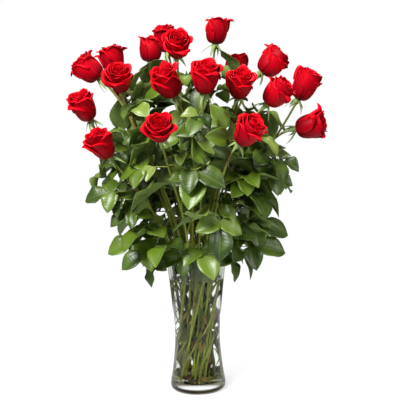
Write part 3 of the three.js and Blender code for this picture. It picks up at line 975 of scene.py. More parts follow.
TOP_DARK_GREEN = (0.021, 0.052, 0.003, 1)
TOP_LIGHT_GREEN = (0.148, 0.25, 0.012, 1)
TOP_PATCH_GREEN = (0.15, 0.235, 0.025, 1)
# Painted light: the pale yellow green of a leaf lit through from behind.
BACKLIT_LEAF_GREEN = (0.26, 0.33, 0.07, 1)
TOP_SIDE_VEIN_GREEN = (0.11, 0.19, 0.04, 1)
TOP_MIDRIB_GREEN = (0.17, 0.26, 0.06, 1)
TOP_PATCH_SCALE = 38
TOP_QUILT_SCALE = 160


def leaf_top():
    """Glossy deep green with paler veins and a quilted surface between them, and a painted glow of light
    through the palest leaves.
    """
    finish = Finish("leaf_top", IOR=1.45, Specular_IOR_Level=0.95)
    across, along = finish.uv()
    place = finish.place()
    tone = finish.tone()
    midrib, side_veins, slant = vein_net(across, along)
    mottle = finish.noise(place, TOP_PATCH_SCALE)
    colour = finish.mixed(tone, TOP_DARK_GREEN, TOP_LIGHT_GREEN)
    patches = mottle.between(0.42, 0.72) * 0.5
    colour = finish.mixed(patches, colour, TOP_PATCH_GREEN)
    # Painted glow: the palest tones turn pale yellow green, as if light shone through those leaves.
    painted_backlight = tone.between(0.86, 0.97) * 0.6
    colour = finish.mixed(painted_backlight, colour, BACKLIT_LEAF_GREEN)
    colour = finish.mixed(side_veins * 0.15, colour, TOP_SIDE_VEIN_GREEN)
    colour = finish.mixed(midrib * 0.6, colour, TOP_MIDRIB_GREEN)
    finish.feed("Base Color", colour)
    finish.roughen(mottle, least=0.27, more=0.25)
    quilt = slant.sine() * -0.2 + finish.noise(place, TOP_QUILT_SCALE) * 0.7
    finish.bump(quilt - midrib - side_veins * 0.3, strength=0.22, distance=0.0006)
    return finish.material


UNDER_DARK_GREEN = (0.085, 0.135, 0.028, 1)
UNDER_LIGHT_GREEN = (0.24, 0.34, 0.07, 1)
UNDER_PATCH_GREEN = (0.13, 0.22, 0.06, 1)
UNDER_VEIN_GREEN = (0.26, 0.37, 0.16, 1)
UNDER_PATCH_SCALE = 45
UNDER_GRAIN_SCALE = 500


def leaf_underside():
    """Matte, paler green, with its veins standing out."""
    finish = Finish("leaf_underside", IOR=1.4)
    across, along = finish.uv()
    place = finish.place()
    midrib, side_veins, _ = vein_net(across, along)
    mottle = finish.noise(place, UNDER_PATCH_SCALE)
    colour = finish.mixed(finish.tone(), UNDER_DARK_GREEN, UNDER_LIGHT_GREEN)
    patches = mottle.between(0.4, 0.75) * 0.4
    colour = finish.mixed(patches, colour, UNDER_PATCH_GREEN)
    colour = finish.mixed(midrib * 0.6 + side_veins * 0.3, colour, UNDER_VEIN_GREEN)
    finish.feed("Base Color", colour)
    finish.roughen(mottle, least=0.55, more=0.15)
    grain = finish.noise(place, UNDER_GRAIN_SCALE)
    finish.bump(midrib + side_veins * 0.5 + grain * 0.2, strength=0.4, distance=0.0006)
    return finish.material


STEM_GREENS = ((0.12, 0.17, 0.012, 1), (0.34, 0.40, 0.04, 1))
STEM_HIGH_GREENS = ((0.22, 0.20, 0.035, 1), (0.30, 0.33, 0.07, 1))
STEM_WORN_BROWN = (0.10, 0.05, 0.018, 1)
STEM_HIGH_BROWN = (0.16, 0.055, 0.018, 1)
STEM_STREAK_SCALE = 160
STEM_WEAR_SCALE = 30
STEM_PATCH_SCALE = 12


def stem_skin():
    """Green and worn brown in the vase, yellow green with reddish brown patches higher up."""
    finish = Finish("stem_skin", IOR=1.45)
    place = finish.place()
    height = finish.height()
    streaks = finish.noise(place, STEM_STREAK_SCALE, detail=4)
    colour = finish.mixed(streaks, *STEM_GREENS)
    in_water = 1 - height.between(0.05, 0.19)
    worn = finish.noise(place, STEM_WEAR_SCALE).between(0.48, 0.62) * in_water
    colour = finish.mixed(worn * 0.7, colour, STEM_WORN_BROWN)
    high = height.between(0.30, 0.52) * 0.8
    colour = finish.mixed(high, colour, finish.mixed(streaks, *STEM_HIGH_GREENS))
    brown = finish.noise(place, STEM_PATCH_SCALE).between(0.5, 0.66) * height.between(0.22, 0.4)
    colour = finish.mixed(brown * 0.75, colour, STEM_HIGH_BROWN)
    finish.feed("Base Color", colour)
    finish.roughen(streaks, least=0.42, more=0.2)
    finish.bump(streaks, strength=0.3, distance=0.0006)
    return finish.material


LIMP_BROWN = (0.04, 0.022, 0.004, 1)
LIMP_OLIVE = (0.085, 0.115, 0.02, 1)
LIMP_PATCH_YELLOW = (0.28, 0.18, 0.035, 1)
SHOOT_GREENS = ((0.20, 0.25, 0.03, 1), (0.36, 0.38, 0.06, 1))
ABOVE_WATER_GREENS = ((0.09, 0.14, 0.03, 1), (0.24, 0.32, 0.12, 1))
LIMP_PATCH_SCALE = 40
LIMP_GRAIN_SCALE = 300


def steeped_leaf():
    """Limp leaves, olive green to brown in the water and fresh above it, and pale green side shoots."""
    finish = Finish("steeped_leaf", IOR=1.4)
    place = finish.place()
    tone = finish.tone()
    mottle = finish.noise(place, LIMP_PATCH_SCALE)
    colour = finish.mixed(tone.between(0.25, 0.6), LIMP_BROWN, LIMP_OLIVE)
    patches = mottle.between(0.5, 0.62) * 0.7
    colour = finish.mixed(patches, colour, LIMP_PATCH_YELLOW)
    shoot = tone.between(1.2, 1.8)
    colour = finish.mixed(shoot, colour, finish.mixed(mottle, *SHOOT_GREENS))
    above_water = finish.height().between(0.185, 0.215) * 0.9
    colour = finish.mixed(above_water, colour, finish.mixed(mottle, *ABOVE_WATER_GREENS))
    finish.feed("Base Color", colour)
    finish.roughen(mottle, least=0.45, more=0.2)
    grain = finish.noise(place, LIMP_GRAIN_SCALE)
    finish.bump(mottle + grain * 0.3, strength=0.4, distance=0.0008)
    return finish.material


CALYX_GREENS = ((0.20, 0.32, 0.08, 1), (0.42, 0.52, 0.20, 1))
CALYX_STREAK_GREEN = (0.10, 0.19, 0.04, 1)
CALYX_STREAK_SCALE = 220
CALYX_PATCH_SCALE = 60


def calyx_skin():
    """The pale green of hips and sepals."""
    finish = Finish("calyx_skin", IOR=1.42)
    place = finish.place()
    streaks = finish.noise(place, CALYX_STREAK_SCALE)
    mottle = finish.noise(place, CALYX_PATCH_SCALE)
    colour = finish.mixed(mottle, *CALYX_GREENS)
    colour = finish.mixed(streaks.between(0.55, 0.8) * 0.4, colour, CALYX_STREAK_GREEN)
    finish.feed("Base Color", colour)
    finish.roughen(mottle, least=0.45, more=0.2)
    finish.bump(streaks, strength=0.3, distance=0.0005)
    return finish.material


GLASS_IOR = 1.5
WATER_IOR = 1.33
NO_BENDING_IOR = 1.0
WEAK_GLARE = (0.25, 0.25, 0.25, 1)
# Tints of the clear finishes: edge is a painted dark reflection where the surface is seen edge on,
# above_water is painted shade high on the neck, and foot is a painted reflection of the dark stems.
GLASS_TINTS = {
    "light": (0.98, 0.985, 0.985, 1),
    "dark": (0.94, 0.955, 0.95, 1),
    "edge": (0.21, 0.23, 0.17, 1),
    "above_water": (0.66, 0.70, 0.62, 1),
    "foot": ((0.014, 0.011, 0.004, 1), (0.042, 0.033, 0.012, 1)),
}
WATER_TOP_TINTS = {
    "light": (1, 1, 1, 1),
    "dark": (0.97, 0.98, 0.95, 1),
    "edge": (0.8, 0.82, 0.78, 1),
    "above_water": (0.9, 0.92, 0.88, 1),
}
WATER_SIDE_TINTS = {
    "light": (0.97, 0.975, 0.95, 1),
    "dark": (0.94, 0.95, 0.9, 1),
    "edge": (0.8, 0.82, 0.75, 1),
    "above_water": (0.9, 0.92, 0.88, 1),
}
CLEAR_UNEVEN_SCALE = 22
EDGE_ON = (0.22, 0.9)
FOOT_REFLECTION_ENDS = (0.009, 0.0115)
ABOVE_WATER = (0.200, 0.226)
PAINTED_NECK_SHADE_SHARE = 0.9


def clear(name, ior, light, dark, edge, above_water, foot=None):
    """A clear, smooth finish, uneven in tint, with painted dark edges edge on, painted shade above the
    water and a painted reflection in the foot.
    """
    finish = Finish(name, IOR=ior, Transmission_Weight=1.0, Roughness=0.0, Specular_Tint=WEAK_GLARE)
    height = finish.height()
    uneven = finish.noise(finish.place(), CLEAR_UNEVEN_SCALE)
    painted_edge_mask = finish.node("ShaderNodeLayerWeight", None, {"Blend": 0.5})["Facing"]
    colour = finish.mixed(uneven, dark, light)
    # Painted dark reflection: edge on, the tint turns dark, standing in for the dark surroundings that
    # glass shows there.
    colour = finish.mixed(painted_edge_mask.between(*EDGE_ON), colour, edge)
    # Painted shade: high up the tint turns grey green, standing in for the shaded foliage seen through the
    # neck.
    colour = finish.mixed(height.between(*ABOVE_WATER) * PAINTED_NECK_SHADE_SHARE, colour, above_water)
    # Painted reflection: low down the foot turns dark brown, standing in for the dark stems that it
    # reflects.
    if foot:
        painted_foot_reflection = finish.mixed(uneven.between(0.4, 0.6), *foot)
        colour = finish.mixed(height.between(*FOOT_REFLECTION_ENDS), painted_foot_reflection, colour)
    finish.feed("Base Color", colour)
    return finish.material


PETAL_FACE = petal_velvet("petal_face", PETAL_FACE_GLARE, **PETAL_FACE_REDS)
PETAL_BACK = petal_velvet("petal_back", PETAL_BACK_GLARE, **PETAL_BACK_REDS)
LEAF_TOP = leaf_top()
LEAF_UNDERSIDE = leaf_underside()
STEM_SKIN = stem_skin()
STEEPED_LEAF = steeped_leaf()
CALYX_SKIN = calyx_skin()

# ---------------------------------------------------------------- vase and water

VASE_SIDES = 96
RINGS_PER_ROW = 4
VASE_ROUNDING = 1.4
WATER_ROUNDING = 1.2
ROUNDING_STEPS = 3
ROUNDED_ABOVE = math.radians(50)
SMOOTH_BELOW = math.radians(40)
WATER_SURFACE_DEPTH = 0.5


def smooth_outline(outline, steps):
    """A Catmull-Rom curve through an outline's corners, in short straight lengths."""
    points = [Vector(row) for row in outline]
    points = [points[0] * 2 - points[1], *points, points[-1] * 2 - points[-2]]
    curve = []
    for a, b, c, d in zip(points, points[1:], points[2:], points[3:]):
        for i in range(steps):
            t = i / steps
            point = 2 * b + (c - a) * t
            point += (2 * a - 5 * b + 4 * c - d) * t**2
            point += (3 * b - a - 3 * c + d) * t**3
            curve.append(0.5 * point)
    return [tuple(point) for point in curve] + [outline[-1]]


def turned(name, outline):
    """A closed round body, raised ring by ring from its first disc by extruding and resizing."""
    deselect()
    radius, height = outline[0]
    bpy.ops.mesh.primitive_circle_add(
        vertices=VASE_SIDES,
        radius=radius * MM,
        fill_type="NGON",
        location=(0, 0, height * MM),
    )
    obj = bpy.context.object
    bpy.ops.object.transform_apply(location=True)
    edit(obj)
    bpy.ops.mesh.select_all(action="SELECT")
    for (r, z), (next_r, next_z) in zip(outline, outline[1:]):
        move = {"value": (0, 0, (next_z - z) * MM)}
        bpy.ops.mesh.extrude_region_move(TRANSFORM_OT_translate=move)
        scale = next_r / r
        bpy.ops.transform.resize(value=(scale, scale, 1), center_override=(0, 0, 0))
    bpy.ops.mesh.select_all(action="SELECT")
    bpy.ops.mesh.remove_doubles(threshold=SAME_PLACE)
    bpy.ops.mesh.normals_make_consistent(inside=False)
    done()
    obj.name = name
    obj.data.name = name
    return obj


def rounded(obj, width):
    """Rounds the sharp edges, and shades what is left smooth."""
    modify(
        obj,
        "BEVEL",
        width=width * MM,
        segments=ROUNDING_STEPS,
        limit_method="ANGLE",
        angle_limit=ROUNDED_ABOVE,
    )
    active(obj)
    bpy.ops.object.shade_smooth_by_angle(angle=SMOOTH_BELOW)


outside = smooth_outline(VASE_OUTLINE, RINGS_PER_ROW)


def inside_outline(offset, floor, top):
    """The outline of the vase's inner wall, or of what stands off it."""
    heights = [h for _, h in outside if floor < h < top]
    return [(radius_at(outside, h) - GLASS_WALL - offset, h) for h in [floor, *heights, top]]


vase = turned("glass_vase", outside + inside_outline(0, FOOT_THICKNESS, VASE_HEIGHT)[::-1])
rounded(vase, VASE_ROUNDING)
vase.data.materials.append(clear("clear_glass", GLASS_IOR, **GLASS_TINTS))
vase.data.materials.append(clear("wet_glass", GLASS_IOR / WATER_IOR, **GLASS_TINTS))
for face in vase.data.polygons:
    x, y, z = face.center / MM
    inner = math.hypot(x, y) < radius_at(outside, z) - GLASS_WALL / 2
    if inner and FOOT_THICKNESS / 2 < z < WATER_LEVEL:
        face.material_index = 1
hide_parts("vase")
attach(vase, "root")

water = turned("vase_water", inside_outline(GAP, FOOT_THICKNESS + GAP, WATER_LEVEL))
rounded(water, WATER_ROUNDING)
water.data.materials.append(clear("water_top", WATER_IOR, **WATER_TOP_TINTS))
water.data.materials.append(clear("water_side", NO_BENDING_IOR, **WATER_SIDE_TINTS))
for face in water.data.polygons:
    face.material_index = int(face.center.z / MM < WATER_LEVEL - WATER_SURFACE_DEPTH)
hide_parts("water")
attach(water, "root")

# ---------------------------------------------------------------- leafy stems

LEAFLET_THICKNESS = 0.5
LEAFLET_ROWS = 32
LIMP_ROWS = 10
SEPAL_ROWS = 10
BLADE_COLUMNS = 4
LEAFLET_OUTLINE = [
    (0.0, 0.0),
    (0.58, 0.06),
    (0.92, 0.15),
    (1.1, 0.28),
    (1.17, 0.43),
    (1.12, 0.58),
    (0.93, 0.72),
    (0.63, 0.84),
    (0.3, 0.93),
    (0.0, 1.0),
]
TOOTH = 0.03
EDGE_WAVE = (0.5, 2.2)
EDGE_WAVE_TURNS = (7, 12)
EDGE_WAVE_SKEW = 2
LEAFLET_CUP = (-1.5, 5)
QUILT_DEPTH = 0.1

# What grows in the vase and is narrower than SHOOT_HALF is a side shoot, and gets its tone.
SHOOT_HALF = 2
SHOOT_TONE = 2

SEPALS = 5
SEPAL_THICKNESS = 0.5
SEPAL_LENGTH = 25
SEPAL_LENGTH_STRAY = (0.8, 1.15)
SEPAL_HALF = 3.7
SEPAL_POINT = 1.3
SEPAL_START = (-78, -30)
SEPAL_CURL = (8, 45)
SEPAL_TWIST = (-0.5, 0.5)
SEPAL_BOW = 0.1
SEPAL_SUNK = 1.6
SEPAL_OUT = 0.86
SEAT_RISE = 1.6
SEAT_SHARE = 0.62

# The hip's radius, as a share of HIP_RADIUS, at shares of the way from the neck to the bloom.
HIP_OUTLINE = [
    (0.36, -0.06),
    (0.42, 0.18),
    (0.62, 0.4),
    (0.86, 0.6),
    (0.98, 0.78),
    (0.98, 0.92),
    (0.88, 1.0),
]

TUBE_ROUNDNESS = 2
STEM_STEPS = 26
STEM_STEPS_IN_VASE = 6
STEM_THIN_FOOT = 2.05
STEM_THIN_NECK = 2.0
STEM_CUT = 0.9
STEM_CUT_LENGTH = 0.01
RIB_RADIUS = 0.85
RIB_THICK = 1.35
RIB_THIN = 0.7
RIB_STEPS = 12
RIB_UNDER_LEAFLET = 2
STEM_SEED = 100


def leaflet_widths(rows):
    return [float(radius_at(LEAFLET_OUTLINE, row / rows)) for row in range(rows + 1)]


def toothed(widths):
    """The half widths with a tooth on every second row."""
    return [width * (1 + (TOOTH if row % 2 else -TOOTH)) for row, width in enumerate(widths)]


def sepal_widths(rows):
    return [1 - (row / rows) ** SEPAL_POINT for row in range(rows)] + [0.0]


leaflet_blank = Blank("leaflet_blank", BLADE_COLUMNS, toothed(leaflet_widths(LEAFLET_ROWS)))
limp_blank = Blank("limp_blank", BLADE_COLUMNS, leaflet_widths(LIMP_ROWS))
sepal_blank = Blank("sepal_blank", BLADE_COLUMNS, sepal_widths(SEPAL_ROWS))


def leaflet_places(leaf, draw):
    """Each leaflet of a leaf, with its edges waved and its surface quilted between the veins."""
    leaflets = LEAFLETS + [(LOW_LEAFLET, LOW_PAIR_AT, hand) for hand in leaf["low"]]
    across = leaflet_blank.across
    along = leaflet_blank.along
    places = []
    for shape, run, hand in leaflets:
        wave = between(draw, *EDGE_WAVE)
        phase = between(draw, 0, FULL_TURN)
        turns = between(draw, *EDGE_WAVE_TURNS)
        cup = between(draw, *LEAFLET_CUP)
        at = on_leaflet(leaf, shape, run, hand, along, across)
        _, _, up = along_rachis(leaf, [run])
        edge = np.abs(across) ** 2 * np.sin(along * turns + phase + across * EDGE_WAVE_SKEW) * wave
        slant = (along - np.abs(across) * LEAFLET_VEIN_SLANT) * LEAFLET_VEINS
        quilt = np.sin(slant) * QUILT_DEPTH * (1 - np.abs(across))
        quilt += cup * across**2
        places.append(at + up * (edge + quilt)[:, None])
    return places


def tube(name, lines):
    """Round tubes along lines of (place, radius), as one mesh."""
    curve = bpy.data.curves.new(name, "CURVE")
    curve.dimensions = "3D"
    curve.bevel_depth = MM
    curve.bevel_resolution = TUBE_ROUNDNESS
    curve.use_fill_caps = True
    for line in lines:
        spline = curve.splines.new("POLY")
        spline.points.add(len(line) - 1)
        for point, (place, radius) in zip(spline.points, line):
            point.co = (*(np.asarray(place) * MM), 1)
            point.radius = radius
    obj = bpy.data.objects.new(name, curve)
    bpy.context.scene.collection.objects.link(obj)
    active(obj)
    bpy.ops.object.convert(target="MESH")
    obj = bpy.context.object
    bpy.ops.object.shade_smooth()
    return obj


def stem_line(stem):
    """The stem from its foot to its neck, tapering a little."""
    line = [
        (stem.foot, STEM_THIN_FOOT * STEM_CUT),
        (mix(stem.foot, stem.rim, STEM_CUT_LENGTH), STEM_THIN_FOOT),
    ]
    for i in range(1, STEM_STEPS_IN_VASE):
        line.append((mix(stem.foot, stem.rim, i / STEM_STEPS_IN_VASE), STEM_THIN_FOOT))
    for i in range(STEM_STEPS + 1):
        share = i / STEM_STEPS
        line.append((stem.along(share), mix(STEM_THIN_FOOT, STEM_THIN_NECK, share)))
    return line


def hip_line(stem):
    """The green swelling that carries the bloom, and the seat on it that the petals grow from."""
    line = [(mix(stem.neck, stem.bloom_at, share), HIP_RADIUS * radius) for radius, share in HIP_OUTLINE]
    return line + [(stem.bloom_at + stem.axis * SEAT_RISE, HIP_RADIUS * SEAT_SHARE)]


def rib_line(leaf):
    """The leaf's stalk, from the stem to just under the end leaflet."""
    places = along_rachis(leaf, np.linspace(0, TERMINAL_AT + RIB_UNDER_LEAFLET, RIB_STEPS))[0]
    radii = np.linspace(RIB_RADIUS * RIB_THICK, RIB_RADIUS * RIB_THIN, RIB_STEPS) * leaf["size"]
    return list(zip(places, radii))


def across_at_neck(stem):
    """A direction across the stem, carried from its foot up to the bloom without a twist."""
    across = np.array([1.0, 0, 0])
    befores = [stem.foot, *stem.bends[:-1]]
    afters = [*stem.bends[1:], stem.bloom_at]
    ways = [unit(after - before) for before, after in zip(befores, afters)]
    for way in [UPRIGHT, *ways, stem.axis, stem.axis]:
        across = unit(across - way * across.dot(way))
    return across


def sepal_places(stem, draw):
    """Thin pointed sepals that fold back from the top of the hip."""
    across = across_at_neck(stem)
    other = np.cross(stem.axis, across)
    places = []
    for i in range(SEPALS):
        angle = FULL_TURN * (i + 0.5) / SEPALS
        out = across * math.cos(angle) + other * math.sin(angle)
        side = np.cross(stem.axis, out)
        length = SEPAL_LENGTH * between(draw, *SEPAL_LENGTH_STRAY)
        start = math.radians(between(draw, *SEPAL_START))
        curl = math.radians(between(draw, *SEPAL_CURL))
        twist = between(draw, *SEPAL_TWIST)
        along = sepal_blank.along
        angle = start - curl * along
        step = length / curl
        ahead = step * (math.sin(start) - np.sin(angle))
        rise = step * (np.cos(angle) - math.cos(start))
        half = SEPAL_HALF * sepal_blank.across
        base = stem.bloom_at - stem.axis * SEPAL_SUNK + out * (HIP_RADIUS * SEPAL_OUT)
        bow = SEPAL_BOW * half**2
        places.append(
            base
            + out * (ahead + bow * np.sin(angle))[:, None]
            + stem.axis * (rise - bow * np.cos(angle) + half * twist * along)[:, None]
            + side * half[:, None]
        )
    return places


def model_leafy_stem(stem):
    """The stem with its ribs, hip, sepals and leaflets, and what grows on it in the vase, as one piece."""
    draw = seeded(STEM_SEED + stem.number)
    number = f"{stem.number:02d}"
    stalks = tube("stalks", [stem_line(stem)] + [rib_line(leaf) for leaf in stem.leaves])
    stalks.data.materials.append(STEM_SKIN)
    hip = tube("hip", [hip_line(stem)])
    hip.data.materials.append(CALYX_SKIN)
    sepals = sepal_places(stem, draw)
    calyx = sepal_blank.copies("sepals", sepals, np.zeros(len(sepals)))
    calyx.data.materials.append(CALYX_SKIN)
    modify(calyx, "SOLIDIFY", thickness=SEPAL_THICKNESS * MM, offset=0)
    parts = [stalks, hip, calyx]
    places = [place for leaf in stem.leaves for place in leaflet_places(leaf, draw)]
    if places:
        tones = [draw() for _ in places]
        leaves = leaflet_blank.copies("leaflets", places, tones, flip=True)
        leaves.data.materials.append(LEAF_TOP)
        leaves.data.materials.append(LEAF_UNDERSIDE)
        modify(leaves, "SOLIDIFY", thickness=LEAFLET_THICKNESS * MM, offset=0, material_offset=1)
        parts.append(leaves)
    if stem.steeped:
        places = [
            on_leaflet(leaf, shape, 0, 0, limp_blank.along, limp_blank.across)
            for leaf, shape in stem.steeped
        ]
        tones = [SHOOT_TONE if shape["half"] < SHOOT_HALF else draw() for _, shape in stem.steeped]
        limp = limp_blank.copies("steeped", places, tones, flip=True)
        limp.data.materials.append(STEEPED_LEAF)
        modify(limp, "SOLIDIFY", thickness=LEAFLET_THICKNESS * MM, offset=0)
        parts.append(limp)
    piece = joined(f"rose_stem_{number}", parts)
    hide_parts(f"leafy_stem_{number}")
    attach(piece, "root")


for stem in stems:
    model_leafy_stem(stem)

# ---------------------------------------------------------------- blooms

PETAL_THICKNESS = 0.4
PETAL_COLUMNS = 12
PETAL_ROWS = 16
BODY_SHARE = 0.66
CUP_STEPS = 6

# The cup that the petals' bodies follow in a closed and in an open bloom: radius and height, as shares.
FULL_CUP = [
    (0.16, 0.0),
    (0.44, 0.015),
    (0.7, 0.08),
    (0.87, 0.2),
    (0.98, 0.38),
    (1.02, 0.58),
    (1.0, 0.8),
    (0.97, 1.0),
]
OPEN_CUP = [
    (0.16, 0.0),
    (0.38, 0.02),
    (0.57, 0.1),
    (0.73, 0.24),
    (0.85, 0.42),
    (0.94, 0.62),
    (1.0, 0.82),
    (1.05, 1.0),
]

# A ring of petals: how many, their radius as a share of the bloom's, their height as a share of the bloom's
# when it is closed and when it is open, how much the heights differ, half a petal's wrap in degrees, the
# lip's radius as a share of the bloom's, how far the lip rolls in degrees, how much earlier one side of the
# petal rolls than its middle, how far it leans out, and how long its tip is as a share of the radius.
Ring = namedtuple("Ring", "count out closed_up open_up unlike wrap lip roll early lean tip")
PETAL_RINGS = [
    Ring(5, 0.80, 0.90, 0.72, 0.11, 57, 0.10, 145, 0.34, 0.10, 0.24),
    Ring(4, 0.70, 0.95, 0.87, 0.07, 68, 0.08, 115, 0.18, 0.05, 0.11),
    Ring(4, 0.58, 0.95, 0.94, 0.055, 72, 0.055, 85, 0.10, 0.0, 0.03),
    Ring(3, 0.45, 0.95, 0.965, 0.045, 88, 0.045, 65, 0.08, 0.0, 0.0),
    Ring(3, 0.31, 0.94, 0.965, 0.035, 95, 0.035, 55, 0.05, 0.0, 0.0),
    Ring(2, 0.17, 0.94, 0.95, 0.02, 130, 0.025, 35, 0.0, 0.0, 0.0),
]
FIRST_PETAL = math.radians(33)
RING_TURN = 23
PETAL_TURN_STRAY = (-6, 6)
HEIGHT_STRAY = (-1, 1)
WRAP_STRAY = (0.93, 1.07)
LIP_STRAY = (0.75, 1.25)
ROLL_STRAY = (0.7, 1.1)
LEAN_STRAY = (0.3, 2)
TIP_STRAY = (0, 1.6)
TIP_LOST_WHEN_OPEN = 0.8
HEART_SHIFT = 0.05
HEART_RING = 4

# The bloom against its solid, in radius and height, when it is closed and when it is open.
BLOOM_RADIUS = (0.99, 0.80)
BLOOM_HEIGHT = (0.99, 0.91)

# How a petal departs from the cup: across runs from -1 to 1, along from 0 to 1.
EARLY_ON_OTHER_SIDE = 0.2
LESS_ROLL_AT_SIDES = 0.45
TIP_HALF_WIDTH = 0.22
TIP_ROLL = 0.8
PETAL_FOOT_WIDTH = 0.55
PETAL_WIDENING = 0.45
PETAL_WIDE_AT = 0.45
CORNER_ROUNDING = 0.3
CORNERS_FROM = 0.7
OVERLAP = 0.045
SIDE_WAVE = (0.015, 0.075)
SIDE_WAVE_TURNS = 3.4
LIP_WAVE = (0.0, 0.045)
LIP_WAVE_TURNS = 4.5
LIP_WAVE_FROM = 0.5
BLOOM_SEED = 500
BLOOM_SEED_STEP = 7

petal_blank = Blank("petal_blank", PETAL_COLUMNS, [1] * (PETAL_ROWS + 1))


def curve_through(outline, share):
    """Radius and height, as shares, of a smooth curve through an outline, at shares of its rows."""
    rows = np.array(smooth_outline(outline, CUP_STEPS))
    spots = np.linspace(0, 1, len(rows))
    return np.interp(share, spots, rows[:, 0]), np.interp(share, spots, rows[:, 1])


def cup_at(share, opened):
    """The cup's radius and height, as shares, along its side."""
    full_r, full_z = curve_through(FULL_CUP, share)
    open_r, open_z = curve_through(OPEN_CUP, share)
    return mix(full_r, open_r, opened), mix(full_z, open_z, opened)


def petal(radius, height, opened, wrap, lip, roll, early, lean, tip, turn, draw):
    """One petal in the bloom's own frame: its body follows the cup, and its lip rolls outwards."""
    across = petal_blank.across
    along = petal_blank.along
    body = np.minimum(along / BODY_SHARE, 1)
    rolled = np.clip((along - BODY_SHARE) / (1 - BODY_SHARE), 0, 1)
    left = np.maximum(across, 0) ** 2
    right = np.maximum(-across, 0) ** 2
    start = 1 - early * left - early * EARLY_ON_OTHER_SIDE * right
    share_r, share_z = cup_at(body * start, opened)
    r = radius * share_r * (1 + lean * share_z**2)
    z = (height - lip) * share_z
    angle = rolled * math.radians(roll) * (1 - LESS_ROLL_AT_SIDES * np.abs(across) ** 3)
    pointed = tip * np.exp(-((across / TIP_HALF_WIDTH) ** 2)) * rolled**2
    r = r + lip * (1 - np.cos(angle)) + pointed * np.sin(angle * TIP_ROLL)
    z = z + lip * np.sin(angle) + pointed * np.cos(angle * TIP_ROLL)
    narrow = PETAL_FOOT_WIDTH + PETAL_WIDENING * smooth_step(0, PETAL_WIDE_AT, body)
    rounding = 1 - CORNER_ROUNDING * smooth_step(CORNERS_FROM, 1, along) ** 2
    phi = turn + wrap * narrow * rounding * across
    wave = between(draw, *SIDE_WAVE)
    phase = between(draw, 0, FULL_TURN)
    swell = np.sin(SIDE_WAVE_TURNS * across + phase) * body**2
    r = r * (1 + OVERLAP * across + wave * swell)
    ripple = np.sin(LIP_WAVE_TURNS * across + 2 * phase) * smooth_step(LIP_WAVE_FROM, 1, along)
    z = z + height * between(draw, *LIP_WAVE) * ripple
    return np.stack([r * np.cos(phi), r * np.sin(phi), z], -1)


def bloom_petals(stem, draw):
    """All the petals of a bloom, ring by ring from the outside in."""
    places = []
    off_centre = between(draw, 0, FULL_TURN)
    wide = stem.radius * mix(*BLOOM_RADIUS, stem.opened)
    tall = stem.height * mix(*BLOOM_HEIGHT, stem.opened)
    for number, ring in enumerate(PETAL_RINGS):
        shift = stem.radius * HEART_SHIFT * smooth_step(0, HEART_RING, number)
        middle = np.array([shift * math.cos(off_centre), shift * math.sin(off_centre), 0])
        up = mix(ring.closed_up, ring.open_up, stem.opened)
        for i in range(ring.count):
            turn = FULL_TURN * (i + 0.5 * (number % 2)) / ring.count + FIRST_PETAL + math.radians(stem.turn)
            turn += math.radians(between(draw, *PETAL_TURN_STRAY) + RING_TURN * number)
            tip = stem.radius * ring.tip * (1 - TIP_LOST_WHEN_OPEN * stem.opened)
            whole = petal(
                wide * ring.out,
                tall * (up + ring.unlike * between(draw, *HEIGHT_STRAY)),
                stem.opened,
                math.radians(ring.wrap) * between(draw, *WRAP_STRAY),
                stem.radius * ring.lip * between(draw, *LIP_STRAY),
                ring.roll * between(draw, *ROLL_STRAY),
                ring.early,
                ring.lean * stem.opened * between(draw, *LEAN_STRAY),
                tip * between(draw, *TIP_STRAY) ** 2,
                turn,
                draw,
            )
            places.append(whole + middle)
    return places


def model_bloom(stem):
    """The petals of one bloom, turned from their own frame to face the way that the stem does."""
    draw = seeded(BLOOM_SEED + BLOOM_SEED_STEP * stem.number)
    number = f"{stem.number:02d}"
    swing = Vector((0, 1, 0)).rotation_difference(Vector(stem.axis)).to_matrix()
    frame_x, frame_y, frame_z = (np.array(swing.col[i]) for i in range(3))
    base = stem.bloom_at + stem.axis * GAP
    places = [
        base + place[:, :1] * frame_x - place[:, 1:2] * frame_z + place[:, 2:] * frame_y
        for place in bloom_petals(stem, draw)
    ]
    tones = [draw() for _ in places]
    piece = petal_blank.copies(f"rose_bloom_{number}", places, tones)
    piece.data.materials.append(PETAL_BACK)
    piece.data.materials.append(PETAL_FACE)
    modify(piece, "SOLIDIFY", thickness=PETAL_THICKNESS * MM, offset=0, material_offset=1)
    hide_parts(f"bloom_{number}")
    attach(piece, "root")


for stem in stems:
    model_bloom(stem)

# ---------------------------------------------------------------- studio

FOCAL_PIXELS = 1054.35
PICTURE_PIXELS = 400
SENSOR = 36
CAMERA_AT = (0, -1.8951, 0.6252)
PITCH = math.radians(8.226)
YAW = math.radians(0.264)
ROLL = math.radians(-0.919)

# The lamps: name, place, diameter and power in watts. Each points at LAMPS_POINT_AT.
LAMPS = [
    ("key", (-1.0, -1.5, 2.1), 1.2, 91),
    ("fill", (1.7, -1.2, 1.0), 0.9, 11),
    ("top", (0.3, 0.7, 2.3), 0.9, 34),
]
LAMPS_POINT_AT = (0, 0, 0.4)
SURROUNDINGS_SEEN = 1.0
SURROUNDINGS_AS_LIGHT = 0.15

FLOOR_SIDES = 96
FLOOR_RADIUS = 0.55
FLOOR_GAP = 0.0004
FLOOR_LIT_FROM = 0.2
FLOOR_WHITE_FROM = 0.95
FLOOR_GRAIN_SCALE = 6
FLOOR_GREYS = ((0.40, 0.40, 0.40, 1), (0.42, 0.42, 0.42, 1))
FLOOR_GLOW = (0.66, 0.66, 0.66, 1)
WHITE = (1, 1, 1, 1)


